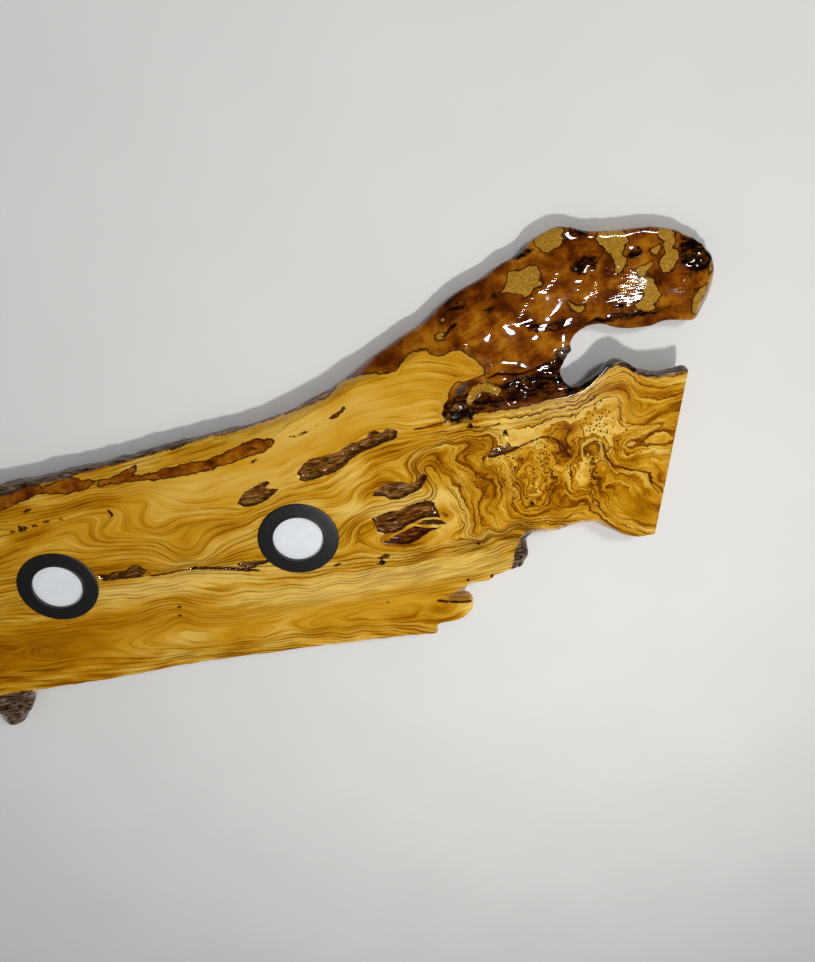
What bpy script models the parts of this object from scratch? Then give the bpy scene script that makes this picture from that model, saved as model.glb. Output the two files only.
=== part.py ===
"""Olive wood slab with a fork limb and two recessed downlights.

A waney-edged slab, sawn flat on its face and back, lies on its back with the face up. A limb forks off at
the upper right and keeps its round, unsawn surface. Two round downlights are let into the face.
Units are metres and +Z is up. Places on the face are read from a drawing in millimetres, whose datum lies
near the right-hand lamp's far side; on_part puts them in the part's frame.
"""

import math

import bmesh
import bpy
from mathutils import Matrix, Vector, kdtree, noise

MM = 0.001

# Driving dimensions of the slab. The middle of its box, in the drawing, becomes the part's origin.
THICKNESS = 45 * MM
DRAWING_CENTRE = (-190, -10)
LEFT_END = (-800, 0)
RIGHT_CUT_FOOT = (326, -140)
RIGHT_CUT_HEAD = (378, 102)
FORK_BAY = (0, 128)
LIMB_CUT_POINT = (405, 192)
LIMB_CUT_HEIGHT = 33 * MM
LIMB_CUT_NORMAL = (0.74, -0.32, 0.59)

# How the wood is meshed before it is thinned out to its final faces.
OUTLINE_STEP = 3 * MM
PLATE_THICKNESS = 10 * MM
VOXEL = 4 * MM
FINAL_TRIANGLES = 8600
SAW_MARGIN = 2 * MM
EDGE_ROUND = 3 * MM
THINNEST_WOOD = 4 * MM
BACK_SQUARENESS = 1.35
HAIR = 0.25 * MM

# How uneven the tree's own surface is: the length of its waves and flakes, and their height.
EDGE_WAVE_LENGTH = 26 * MM
EDGE_FLAKE_LENGTH = 7 * MM
GRAIN_LENGTH = 16 * MM
GRAIN_WIDTH = 8 * MM
GRAIN_HEIGHT = 1.3 * MM
INWARD_RISE = 0.35

# Driving dimensions of a downlight. Heights in it are measured from the slab's face.
LAMP_CENTRES = {"left": (-501.5, -72.5), "right": (-161, -60.5)}
TRIM_RADIUS = 55 * MM
TRIM_HEIGHT = 3.4 * MM
TRIM_LIP = 1.2 * MM
COLLAR_DEPTH = 7 * MM
APERTURE_RADIUS = 34.5 * MM
CAN_RADIUS = 44 * MM
CAN_DEPTH = 33 * MM
SHEET = 1.6 * MM
DIFFUSER_RADIUS = 37.4 * MM
DIFFUSER_THICKNESS = 2 * MM
BOARD_RADIUS = 36 * MM
GROMMET_RADIUS = 6.5 * MM
GROMMET_HEIGHT = 6 * MM
LEAD_RADIUS = 2.2 * MM
CLIP_SHEET = 1.2 * MM
CLIP_WIDTH = 12 * MM
CLIP_REACH = 18 * MM
CLIP_TURNS = {"a": math.radians(20), "b": math.radians(200)}
LAMP_HOLE_RADIUS = 46 * MM
LEDGE_THICKNESS = 23 * MM
POCKET_RADIUS = 66 * MM
GAP = 0.3 * MM
ROUND_STEPS = 48

# The natural outline, counter-clockwise, in stretches. Each states how far in the bark side reaches before
# it meets the sawn face, the height of its outermost line, how far the back is undercut, how rough it is,
# and its points on that line. On the limb the side rounds off further in, by LIMB_FULLNESS.
OUTLINE = [
    ("sawn left end", 6, 24, 3, 0.0, [(-818, 60), (-818, -80), (-818, -232)]),
    (
        "lower edge, left",
        5, 25, 6, 0.8,
        [(-780, -241), (-735, -244), (-700, -250), (-684, -258)],
    ),
    (
        "spur",
        24, 20, 14, 1.5,
        [(-674, -275), (-670, -299), (-660, -312), (-646, -313), (-634, -303), (-621, -286), (-604, -262)],
    ),
    (
        "lower edge",
        5, 25, 7, 0.7,
        [(-592, -249), (-560, -246), (-500, -247), (-430, -246), (-360, -243), (-280, -246), (-200, -249),
         (-110, -253), (-50, -257), (-20, -260), (-6, -262)],
    ),
    (
        "torn tongue",
        4, 28, 18, 0.6,
        [(2, -263), (5, -259), (3, -251), (7, -244), (23, -244), (35, -243), (44, -240), (52, -235),
         (59, -227), (62, -217), (59, -209), (47, -208), (29, -206), (15, -199)],
    ),
    (
        "torn shoulder",
        4, 27, 6, 0.6,
        [(34, -197), (43, -192), (54, -189), (58, -184), (68, -183), (81, -184), (92, -181), (99, -175),
         (109, -174), (119, -171), (127, -172)],
    ),
    (
        "bark knuckle",
        17, 25, 10, 1.8,
        [(134, -175), (139, -173), (144, -163), (147, -153), (148, -140), (149, -130)],
    ),
    (
        "lower notch",
        19, 12, 5, 0.8,
        [(156, -127), (168, -127), (193, -129), (217, -125), (239, -125), (252, -134)],
    ),
    (
        "flare",
        8, 18, 6, 0.7,
        [(265, -141), (276, -146), (288, -152), (303, -157), (317, -156)],
    ),
    ("sawn right end", 4, 25, 3, 0.0, [(336, -154), (368, -20), (392, 78), (396, 92)]),
    (
        "barked top corner",
        4, 40, 19, 1.4,
        [(385, 93), (374, 92), (357, 91), (341, 91), (329, 93), (319, 97)],
    ),
    (
        "bark knob",
        4, 40, 24, 1.5,
        [(309, 103), (301, 110), (292, 117), (283, 117), (275, 115), (266, 109), (258, 101)],
    ),
    (
        "crotch of the fork",
        7, 34, 20, 1.6,
        [(249, 95), (238, 91), (229, 90), (222, 93), (218, 101), (216, 114), (220, 125), (229, 134),
         (234, 139), (232, 145), (236, 154)],
    ),
    (
        "limb, lower side",
        22, 21, 24, 1.0,
        [(248, 160), (258, 163), (272, 161), (291, 153), (310, 149), (330, 147), (346, 150), (358, 151),
         (374, 147), (394, 145), (407, 145)],
    ),
    (
        "sawn limb end",
        11, 22, 12, 0.4,
        [(419, 152), (425, 170), (424, 188), (418, 206), (415, 221)],
    ),
    (
        "limb, upper side",
        24, 20, 24, 1.3,
        [(410, 234), (400, 245), (390, 253), (379, 260), (366, 266), (350, 271), (328, 275), (303, 276),
         (282, 279), (264, 283), (247, 290), (234, 293), (220, 292), (205, 287), (192, 278), (177, 268),
         (155, 260), (143, 252), (122, 244), (101, 236), (77, 220), (50, 202), (24, 191), (-1, 180)],
    ),
    (
        "upper waney edge, narrow",
        10, 23, 10, 0.9,
        [(-28, 163), (-58, 147), (-104, 128)],
    ),
    (
        "upper waney edge, widening",
        20, 22, 10, 1.1,
        [(-152, 114), (-185, 109)],
    ),
    (
        "upper waney edge, broad",
        33, 22, 12, 1.5,
        [(-225, 106), (-257, 104), (-308, 99), (-360, 94)],
    ),
    (
        "upper waney edge, left",
        25, 23, 12, 1.5,
        [(-411, 91), (-470, 88), (-540, 84), (-620, 80), (-710, 78), (-790, 75)],
    ),
]
BLEND_LENGTH = 24 * MM

# The limb's round surface and the barked cleft below it keep clear of the saw: their border on the face,
# counter-clockwise, closed round the outside of the wood.
UNSAWN_WOOD = [
    (-60, 190), (-35, 158), (-4, 158), (22, 170), (44, 176), (70, 169), (98, 166), (112, 155), (123, 142),
    (119, 129), (84, 122), (68, 110), (65, 90), (72, 74), (94, 68), (106, 80), (140, 83), (172, 80),
    (217, 79), (240, 90), (262, 126), (480, 126), (480, 340), (-60, 340),
]
BORDER_WIDTH = 10 * MM
LIMB_FULLNESS = 2.4
LIMB_DROP = 10 * MM
LIMB_EASE = 30 * MM
LIMB_LUMP_LENGTH = 42 * MM
LIMB_LUMP_HEIGHT = 4.5 * MM

# Hollows in the face: name, middle, half length, half width, turn in degrees, depth and squareness.
# HOLLOW_WANDER is how far a mouth wanders, as a share of its size, and HOLLOW_LUMPS how far a floor does,
# as a share of its depth. A wall starts at HOLLOW_RIM of the size and takes HOLLOW_WALL of it.
HOLLOW_WANDER = 0.16
HOLLOW_WANDER_LENGTH = 11 * MM
HOLLOW_LUMPS = 0.25
HOLLOW_LUMP_LENGTH = 5 * MM
HOLLOW_RIM = 1.08
HOLLOW_WALL = 0.4
HOLLOWS = [
    ("upper pocket, left half", (-197, 18), 32, 11, 22, 9, 2.4),
    ("long pocket, wide end", (-108, 43), 31, 12, 17, 10, 2.4),
    ("long pocket, neck", (-64, 59), 34, 7.5, 26, 8, 2.4),
    ("long pocket, far end", (-22, 73), 20, 9.5, 8, 10, 2.4),
    ("lens pocket", (-18, -12), 33, 12, 2, 9, 2.0),
    ("lens pocket, tail", (16, 1), 15, 5.5, 52, 7, 2.4),
    ("block pocket", (-13, -56), 46, 15, 8, 8, 5.0),
    ("boat pocket", (-14, -87), 32, 10, 11, 11, 2.0),
    ("boat pocket, stern", (24, -76), 20, 4.5, 5, 6, 2.4),
    ("crotch pit", (81, 82), 18, 11, 6, 19, 2.4),
    ("crotch cleft", (172, 102), 38, 12, 1, 13, 2.0),
    ("crotch cleft, lower lip", (186, 87), 44, 6, 2, 7, 2.4),
    ("crotch hook", (110, 99), 13, 6, 15, 6, 2.0),
    ("crotch fold", (136, 126), 26, 4, -6, 5, 2.4),
    ("burl pit", (124, 20), 19, 8.5, 21, 8, 2.4),
    ("burl check", (168, 30), 34, 2.6, 8, 5, 2.4),
    ("long check", (-290, -83), 62, 3.2, -4, 7, 2.4),
    ("check beside the lamp", (-236, -89), 30, 7, 4, 9, 2.4),
    ("wormy patch", (-412, -70), 36, 9, -2, 6, 2.4),
    ("small pit", (-53, -113), 12, 4.5, 62, 6, 2.4),
]

MATERIALS = {
    "olive_wood": ((0.62, 0.36, 0.08, 1.0), 0.25, 0.0),
    "black_trim": ((0.012, 0.012, 0.012, 1.0), 0.35, 0.0),
    "opal_diffuser": ((0.86, 0.87, 0.88, 1.0), 0.45, 0.0),
    "cast_aluminium": ((0.62, 0.63, 0.65, 1.0), 0.45, 1.0),
    "led_board": ((0.85, 0.85, 0.82, 1.0), 0.5, 0.0),
    "spring_steel": ((0.55, 0.56, 0.58, 1.0), 0.3, 1.0),
    "black_rubber": ((0.02, 0.02, 0.02, 1.0), 0.8, 0.0),
}


def clear_scene():
    for obj in list(bpy.data.objects):
        bpy.data.objects.remove(obj)


def new_collection(name):
    collection = bpy.data.collections.new(name)
    bpy.context.scene.collection.children.link(collection)
    return collection


def material(name):
    if name in bpy.data.materials:
        return bpy.data.materials[name]
    colour, roughness, metallic = MATERIALS[name]
    made = bpy.data.materials.new(name)
    made.use_nodes = True
    shader = made.node_tree.nodes["Principled BSDF"]
    shader.inputs["Base Color"].default_value = colour
    shader.inputs["Roughness"].default_value = roughness
    shader.inputs["Metallic"].default_value = metallic
    return made


def add_object(name, data, collection, material_name=None):
    obj = bpy.data.objects.new(name, data)
    collection.objects.link(obj)
    if material_name:
        data.materials.append(material(material_name))
    return obj


def evaluated_mesh(obj):
    """The object's mesh with its modifiers applied, as a new mesh."""
    bpy.context.view_layer.update()
    graph = bpy.context.evaluated_depsgraph_get()
    return bpy.data.meshes.new_from_object(obj.evaluated_get(graph))


def mesh_through(data, modifier_type=None, **settings):
    """The mesh that a mesh or curve gives, after one modifier if there is one."""
    carrier = add_object("carrier", data, bpy.context.scene.collection)
    if modifier_type:
        modifier = carrier.modifiers.new("step", modifier_type)
        for name, value in settings.items():
            setattr(modifier, name, value)
    result = evaluated_mesh(carrier)
    bpy.data.objects.remove(carrier)
    return result


def flat_shape(name, points, thickness):
    """A flat outline of (x, y) points as a curve, filled and given half its thickness either side."""
    curve = bpy.data.curves.new(name, "CURVE")
    curve.dimensions = "2D"
    curve.fill_mode = "BOTH"
    curve.extrude = thickness / 2
    spline = curve.splines.new("POLY")
    spline.points.add(len(points) - 1)
    spline.use_cyclic_u = True
    for target, point in zip(spline.points, points):
        target.co = (point[0], point[1], 0, 1)
    return curve


def smoothstep(low, high, value):
    t = min(1.0, max(0.0, (value - low) / (high - low)))
    return t * t * (3 - 2 * t)


def rounding(t, squareness=2.0):
    """Height of a rounded edge, from 0 at its foot to 1 where it turns level; 2 is a quarter circle."""
    t = min(1.0, max(0.0, t))
    return (1 - (1 - t) ** squareness) ** (1 / squareness)


def on_part(point, height=0.0):
    """A point of the drawing, in millimetres, in the part's frame."""
    return Vector(((point[0] - DRAWING_CENTRE[0]) * MM, (point[1] - DRAWING_CENTRE[1]) * MM, height))


def spline_point(p0, p1, p2, p3, t):
    """A point on the centripetal Catmull-Rom curve from p1 to p2."""
    knots = [0.0]
    for a, b in ((p0, p1), (p1, p2), (p2, p3)):
        knots.append(knots[-1] + max((b - a).length, 1e-6) ** 0.5)
    at = knots[1] + t * (knots[2] - knots[1])

    def mix(a, b, low, high):
        return a * ((high - at) / (high - low)) + b * ((at - low) / (high - low))

    a1 = mix(p0, p1, knots[0], knots[1])
    a2 = mix(p1, p2, knots[1], knots[2])
    a3 = mix(p2, p3, knots[2], knots[3])
    b1 = mix(a1, a2, knots[0], knots[2])
    b2 = mix(a2, a3, knots[1], knots[3])
    return mix(b1, b2, knots[1], knots[2])


def outline_samples():
    """The rough outline as (point, reach, edge height, undercut), every OUTLINE_STEP along it."""
    knots = [
        (on_part(point), (reach * MM, height * MM, undercut * MM, rough * MM))
        for _, reach, height, undercut, rough, points in OUTLINE
        for point in points
    ]
    count = len(knots)
    samples = []
    for i in range(count):
        around = [knots[(i + k) % count][0] for k in (-1, 0, 1, 2)]
        steps = max(1, round((around[2] - around[1]).length / OUTLINE_STEP))
        for k in range(steps):
            samples.append((spline_point(*around, k / steps), knots[i][1]))
    spread = round(BLEND_LENGTH / OUTLINE_STEP / 2)
    total = len(samples)
    rough_samples = []
    for i, (point, _) in enumerate(samples):
        near = [samples[(i + k) % total][1] for k in range(-spread, spread + 1)]
        reach, height, undercut, rough = (sum(values) / len(near) for values in zip(*near))
        along = samples[(i + 1) % total][0] - samples[i - 1][0]
        outward = Vector((along.y, -along.x, 0)).normalized()
        coarse = noise.fractal(point / EDGE_WAVE_LENGTH, 0.9, 2.1, 4)
        fine = noise.noise(point / EDGE_FLAKE_LENGTH)
        moved = point + outward * rough * (1.5 * coarse + 0.6 * fine)
        rough_samples.append((moved, reach, height, undercut))
    return rough_samples


def plate_of(samples):
    """A thin plate of the outline, remeshed into small even faces."""
    mesh = mesh_through(flat_shape("outline", [sample[0] for sample in samples], PLATE_THICKNESS))
    bm = bmesh.new()
    bm.from_mesh(mesh)
    bmesh.ops.remove_doubles(bm, verts=bm.verts, dist=0.01 * MM)
    bm.to_mesh(mesh)
    bm.free()
    return mesh_through(mesh, "REMESH", mode="VOXEL", voxel_size=VOXEL)


def inside_unsawn(point):
    """Distance from the border of the unsawn wood, positive inside it."""
    border = [on_part(p) for p in UNSAWN_WOOD]
    nearest = math.inf
    inside = False
    for a, b in zip(border, border[1:] + border[:1]):
        along = b - a
        t = min(1.0, max(0.0, (point - a).dot(along) / along.length_squared))
        nearest = min(nearest, (point - (a + along * t)).length)
        if (a.y > point.y) != (b.y > point.y) and point.x < a.x + along.x * (point.y - a.y) / along.y:
            inside = not inside
    return nearest if inside else -nearest


def hollow_depth(point):
    """How far the hollows take the face down at a point."""
    deepest = 0.0
    wander = HOLLOW_WANDER * noise.fractal(point / HOLLOW_WANDER_LENGTH, 0.8, 2.2, 3)
    floor = 1 + HOLLOW_LUMPS * noise.noise(point / HOLLOW_LUMP_LENGTH)
    for _, middle, half_length, half_width, turn, depth, squareness in HOLLOWS:
        offset = point - on_part(middle)
        if offset.length > 1.5 * half_length * MM:
            continue
        turned = Matrix.Rotation(-math.radians(turn), 3, "Z") @ offset
        u = abs(turned.x) / (half_length * MM)
        v = abs(turned.y) / (half_width * MM)
        far = (u**squareness + v**squareness) ** (1 / squareness) + wander
        wall = min(1.0, max(0.0, (HOLLOW_RIM - far) / HOLLOW_WALL))
        deepest = max(deepest, (depth * MM * floor + SAW_MARGIN) * wall)
    return deepest


def wood_height(point, inside, reach, edge_height):
    """Height of the natural wood above a point of the plan, before the saw takes the face flat."""
    unsawn = inside_unsawn(point)
    meets_face = 1.5
    rise = rounding(inside / (meets_face * reach)) / rounding(1 / meets_face)
    body = edge_height + (THICKNESS - edge_height) * rise + INWARD_RISE * max(0.0, inside - reach)
    crown = THICKNESS - LIMB_DROP * (1 - math.exp(-unsawn / LIMB_EASE))
    lumps = noise.noise(point / LIMB_LUMP_LENGTH + Vector((3.1, 0.4, 0)))
    crown += LIMB_LUMP_HEIGHT * lumps * smoothstep(0, LIMB_EASE, unsawn)
    limb = edge_height + (crown - edge_height) * rounding(inside / (LIMB_FULLNESS * reach))
    share = smoothstep(-BORDER_WIDTH, BORDER_WIDTH, unsawn)
    natural = body * (1 - share) + limb * share
    grain = noise.fractal(Vector((point.x / GRAIN_LENGTH, point.y / GRAIN_WIDTH, 0.7)), 0.9, 2.0, 3)
    natural += GRAIN_HEIGHT * grain * smoothstep(0, GRAIN_WIDTH, inside)
    return min(natural, THICKNESS + SAW_MARGIN) - hollow_depth(point)


def shape_wood(mesh, samples):
    """Lifts the plate's top to the natural surface and slopes its side in to the back."""
    tree = kdtree.KDTree(len(samples))
    for i, sample in enumerate(samples):
        tree.insert(sample[0], i)
    tree.balance()
    for vertex in mesh.vertices:
        point = Vector((vertex.co.x, vertex.co.y, 0))
        _, index, inside = tree.find(point)
        _, reach, edge_height, undercut = samples[index]
        at_rim = 1 - smoothstep(0, 2 * EDGE_ROUND, inside)
        top = wood_height(point, inside, reach, edge_height) + EDGE_ROUND * at_rim
        back = edge_height * (1 - rounding(inside / undercut, BACK_SQUARENESS))
        share = vertex.co.z / PLATE_THICKNESS + 0.5
        vertex.co.z = back + (max(top, back + THINNEST_WOOD) - back) * share


def clear_of_plane(verts, point, normal):
    """Moves any point that nearly touches a cut's plane a hair off it, so that the cut's edge is clean."""
    for vertex in verts:
        above = (vertex.co - point).dot(normal)
        if abs(above) < HAIR:
            vertex.co += normal * (math.copysign(HAIR, above) - above)


def plane_face(bm):
    """Planes the top of the wood flat at its full thickness, with a crisp arris where the plane runs out."""
    face_point = Vector((0, 0, THICKNESS))
    up = Vector((0, 0, 1))
    clear_of_plane(bm.verts, face_point, up)
    geom = bm.verts[:] + bm.edges[:] + bm.faces[:]
    bmesh.ops.bisect_plane(bm, geom=geom, dist=0.001 * MM, plane_co=face_point, plane_no=up)
    for vertex in bm.verts:
        vertex.co.z = min(vertex.co.z, THICKNESS)


def saw(bm, point, normal, reaches=lambda place: True):
    """Saws the wood that the blade reaches along a plane, takes the offcut away and closes the cut."""
    normal = Vector(normal).normalized()
    verts = [v for v in bm.verts if reaches(v.co)]
    clear_of_plane(verts, point, normal)
    own = set(verts)
    edges = [e for e in bm.edges if own.issuperset(e.verts)]
    faces = [f for f in bm.faces if own.issuperset(f.verts)]
    cut_through = bmesh.ops.bisect_plane(
        bm,
        geom=verts + edges + faces,
        dist=0.001 * MM,
        plane_co=point,
        plane_no=normal,
        clear_outer=True,
    )["geom_cut"]
    open_edges = [e for e in cut_through if isinstance(e, bmesh.types.BMEdge) and e.is_boundary]
    bmesh.ops.triangle_fill(bm, use_beauty=True, edges=open_edges, normal=normal)


def cut_to_size(mesh):
    """Planes the face, then saws both ends and the limb's end; the back is already flat."""
    bay_y = on_part(FORK_BAY).y
    along = on_part(RIGHT_CUT_HEAD) - on_part(RIGHT_CUT_FOOT)
    bm = bmesh.new()
    bm.from_mesh(mesh)
    bmesh.ops.triangulate(bm, faces=bm.faces[:])
    plane_face(bm)
    saw(bm, on_part(LEFT_END), (-1, 0, 0))
    saw(bm, on_part(RIGHT_CUT_FOOT), (along.y, -along.x, 0), lambda place: place.y < bay_y)
    saw(bm, on_part(LIMB_CUT_POINT, LIMB_CUT_HEIGHT), LIMB_CUT_NORMAL, lambda place: place.y > bay_y)
    bmesh.ops.triangulate(bm, faces=bm.faces[:])
    bm.to_mesh(mesh)
    bm.free()


def flatten_sawn_faces(mesh):
    """Puts every point within a hair of the face or the back exactly on it."""
    for vertex in mesh.vertices:
        for level in (0.0, THICKNESS):
            if abs(vertex.co.z - level) < 1.5 * HAIR:
                vertex.co.z = level


def wood_mesh():
    samples = outline_samples()
    mesh = plate_of(samples)
    shape_wood(mesh, samples)
    cut_to_size(mesh)
    mesh.calc_loop_triangles()
    share = FINAL_TRIANGLES / len(mesh.loop_triangles)
    thinned = mesh_through(mesh, "DECIMATE", ratio=share, use_collapse_triangulate=True)
    flatten_sawn_faces(thinned)
    return thinned


def cylinder_cutter(name, centre, radius, low, high, cutters):
    """A cylinder from one height to another, for cutting only."""
    bpy.ops.mesh.primitive_cylinder_add(
        vertices=ROUND_STEPS,
        radius=radius,
        depth=high - low,
        location=(centre.x, centre.y, (low + high) / 2),
    )
    cutter = bpy.context.object
    cutter.name = name
    for owner in list(cutter.users_collection):
        owner.objects.unlink(cutter)
    cutters.objects.link(cutter)
    cutter.hide_render = True
    cutter.display_type = "WIRE"
    return cutter


def cut(obj, cutter):
    modifier = obj.modifiers.new(cutter.name, "BOOLEAN")
    modifier.operation = "DIFFERENCE"
    modifier.solver = "EXACT"
    modifier.object = cutter


def turned(name, profile, centre, collection, material_name):
    """A turned piece: a closed profile of (radius, height) points, spun round the lamp's axis."""
    bm = bmesh.new()
    verts = [bm.verts.new((r, 0, z)) for r, z in profile]
    count = len(verts)
    closed = all(r > 0 for r, _ in profile)
    for i in range(count if closed else count - 1):
        bm.edges.new((verts[i], verts[(i + 1) % count]))
    mesh = bpy.data.meshes.new(name)
    bm.to_mesh(mesh)
    bm.free()
    obj = add_object(name, mesh, collection, material_name)
    obj.location = centre
    screw = obj.modifiers.new("turn", "SCREW")
    screw.steps = ROUND_STEPS
    screw.render_steps = ROUND_STEPS
    screw.use_merge_vertices = True
    screw.merge_threshold = 0.01 * MM
    return obj


def trim_ring(side, centre, collection):
    """The black bezel that lies on the face, with the collar that it grips the can by."""
    collar_outside = CAN_RADIUS - SHEET - GAP
    collar_inside = DIFFUSER_RADIUS + GAP
    profile = [
        (APERTURE_RADIUS, -TRIM_LIP),
        (APERTURE_RADIUS, TRIM_HEIGHT - 1 * MM),
        (APERTURE_RADIUS + 1 * MM, TRIM_HEIGHT),
        (APERTURE_RADIUS + 3 * MM, TRIM_HEIGHT),
        (TRIM_RADIUS - 2 * MM, 2.2 * MM),
        (TRIM_RADIUS - 0.4 * MM, 1.6 * MM),
        (TRIM_RADIUS, 1 * MM),
        (TRIM_RADIUS, GAP),
        (collar_outside, GAP),
        (collar_outside, -COLLAR_DEPTH),
        (collar_inside, -COLLAR_DEPTH),
        (collar_inside, -TRIM_LIP),
    ]
    return turned(f"trim_ring_{side}", profile, centre, collection, "black_trim")


def lamp_can(side, centre, collection):
    """The cast aluminium cup behind the ring: it carries the board and sheds its heat."""
    floor = 2 * SHEET - CAN_DEPTH
    chamfer = 1.5 * MM
    profile = [
        (0, floor),
        (CAN_RADIUS - SHEET, floor),
        (CAN_RADIUS - SHEET, -GAP),
        (CAN_RADIUS, -GAP),
        (CAN_RADIUS, chamfer - CAN_DEPTH),
        (CAN_RADIUS - chamfer, -CAN_DEPTH),
        (0, -CAN_DEPTH),
    ]
    return turned(f"lamp_can_{side}", profile, centre, collection, "cast_aluminium")


def diffuser(side, centre, collection):
    """The opal disc that lies against the back of the ring's lip."""
    top = -TRIM_LIP - GAP
    low = top - DIFFUSER_THICKNESS
    profile = [(0, top), (DIFFUSER_RADIUS, top), (DIFFUSER_RADIUS, low), (0, low)]
    return turned(f"diffuser_{side}", profile, centre, collection, "opal_diffuser")


def led_board(side, centre, collection):
    """The round board on the can's floor that carries the light-emitting diodes."""
    low = 2 * SHEET - CAN_DEPTH + GAP
    top = low + SHEET
    profile = [(0, top), (BOARD_RADIUS, top), (BOARD_RADIUS, low), (0, low)]
    return turned(f"led_board_{side}", profile, centre, collection, "led_board")


def cable_grommet(side, centre, collection):
    """The rubber grommet on the can's back, where the mains lead goes in."""
    top = -CAN_DEPTH - GAP
    low = top - GROMMET_HEIGHT
    profile = [
        (LEAD_RADIUS, top),
        (GROMMET_RADIUS, top),
        (GROMMET_RADIUS, (top + low) / 2),
        (GROMMET_RADIUS - 2 * MM, low),
        (LEAD_RADIUS, low),
    ]
    return turned(f"cable_grommet_{side}", profile, centre, collection, "black_rubber")


def spring_clip(side, letter, centre, turn, collection):
    """A sprung strip that stands on the can's side and presses up on the back of the ledge."""
    root = CAN_RADIUS + GAP
    tip = root + CLIP_REACH
    under_ledge = -LEDGE_THICKNESS - GAP
    points = [
        (root, 1 * MM - CAN_DEPTH),
        (root + CLIP_SHEET, 1 * MM - CAN_DEPTH),
        (root + CLIP_SHEET, under_ledge - 5 * CLIP_SHEET),
        (root + 10 * CLIP_SHEET, under_ledge - 1.4 * CLIP_SHEET),
        (tip, under_ledge - CLIP_SHEET),
        (tip, under_ledge),
        (root + 10 * CLIP_SHEET, under_ledge),
        (root + 2 * CLIP_SHEET, under_ledge - 2.7 * CLIP_SHEET),
        (root + 1.3 * CLIP_SHEET, under_ledge - CLIP_SHEET),
        (root, under_ledge - CLIP_SHEET),
    ]
    name = f"spring_clip_{side}_{letter}"
    strip = add_object(name, flat_shape(name, points, CLIP_WIDTH), collection, "spring_steel")
    upright = Matrix.Rotation(math.pi / 2, 4, "X")
    strip.matrix_world = Matrix.Translation(centre) @ Matrix.Rotation(turn, 4, "Z") @ upright
    return strip


def downlight(side, wood, parts, cutters):
    """One downlight let into the face, and the stepped hole that it needs."""
    centre = on_part(LAMP_CENTRES[side], THICKNESS)
    below = -5 * MM
    above = THICKNESS + 5 * MM
    ledge = THICKNESS - LEDGE_THICKNESS
    hole = cylinder_cutter(f"lamp hole {side}", centre, LAMP_HOLE_RADIUS, below, above, cutters)
    pocket = cylinder_cutter(f"back pocket {side}", centre, POCKET_RADIUS, below, ledge, cutters)
    cut(wood, hole)
    cut(wood, pocket)
    trim_ring(side, centre, parts)
    diffuser(side, centre, parts)
    led_board(side, centre, parts)
    lamp_can(side, centre, parts)
    cable_grommet(side, centre, parts)
    for letter, turn in CLIP_TURNS.items():
        spring_clip(side, letter, centre, turn, parts)


def build():
    clear_scene()
    parts = new_collection("olive wood slab")
    cutters = new_collection("cutters")
    wood = add_object("olive_slab", wood_mesh(), parts, "olive_wood")
    for side in LAMP_CENTRES:
        downlight(side, wood, parts, cutters)


build()
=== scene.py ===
import math

import bmesh
import bpy
import numpy as np
from mathutils import Matrix, Vector


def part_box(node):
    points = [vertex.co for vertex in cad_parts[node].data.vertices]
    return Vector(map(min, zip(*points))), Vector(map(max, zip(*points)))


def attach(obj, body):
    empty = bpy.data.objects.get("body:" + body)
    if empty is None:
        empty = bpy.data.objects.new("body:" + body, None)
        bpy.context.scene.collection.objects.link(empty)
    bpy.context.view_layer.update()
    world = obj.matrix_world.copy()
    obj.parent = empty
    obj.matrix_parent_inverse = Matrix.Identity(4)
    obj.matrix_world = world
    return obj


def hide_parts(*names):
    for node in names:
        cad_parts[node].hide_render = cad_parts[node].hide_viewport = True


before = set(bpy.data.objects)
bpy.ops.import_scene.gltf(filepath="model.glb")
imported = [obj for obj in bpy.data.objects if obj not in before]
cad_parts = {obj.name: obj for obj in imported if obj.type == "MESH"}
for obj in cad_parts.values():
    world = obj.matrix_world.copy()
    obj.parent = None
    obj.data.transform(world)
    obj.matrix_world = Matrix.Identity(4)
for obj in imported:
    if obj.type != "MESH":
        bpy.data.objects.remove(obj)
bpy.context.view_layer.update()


# The slab's shape.
# One plank sawn lengthways through an old olive fork, so its face and back are flat and its edges are
# the tree's own: bark, barked wood and the whole limb. The rotten pockets in the face are picked clean.
MM = 0.001
SLAB_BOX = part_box("olive_slab")
SAWN_FACE = SLAB_BOX[1].z
LAMPS = {side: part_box(f"diffuser_{side}") for side in ("left", "right")}

# The face is drawn in millimetres. This is the part's origin on that drawing.
DRAWING_CENTRE = (-190.0, -10.0)

# The wood's even mesh: its cell, the wood that is planed off its face, and what counts as flush or as one
# point. The back and the low part of the sides keep only a share of their triangles.
CELL = 2.8 * MM
FACE_MARGIN = 3 * MM
FLUSH = 0.05 * MM
SAME_POINT = 0.01 * MM
MERGED_IN_PLANING = 0.3 * MM
ON_BACK = 0.2 * CELL
BACK_SHARE = 0.03
LOW_SIDE = 18 * MM
LOW_SIDE_SHARE = 0.2

# The saw cuts across the plank's ends: a point, the way out of the wood, and -1 where only the wood below the
# fork's bay was cut, or else 0. The mesh is set back to a cut from this depth below it.
FORK_BAY = 0.138
SAW_CUTS = (
    ((-0.610, 0.0, 0.0), (-1.0, 0.0, 0.0), 0),
    ((0.516, -0.130, 0.0), (0.978, -0.210, 0.0), -1),
)
SAW_HOLD = 1.2 * MM

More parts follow.
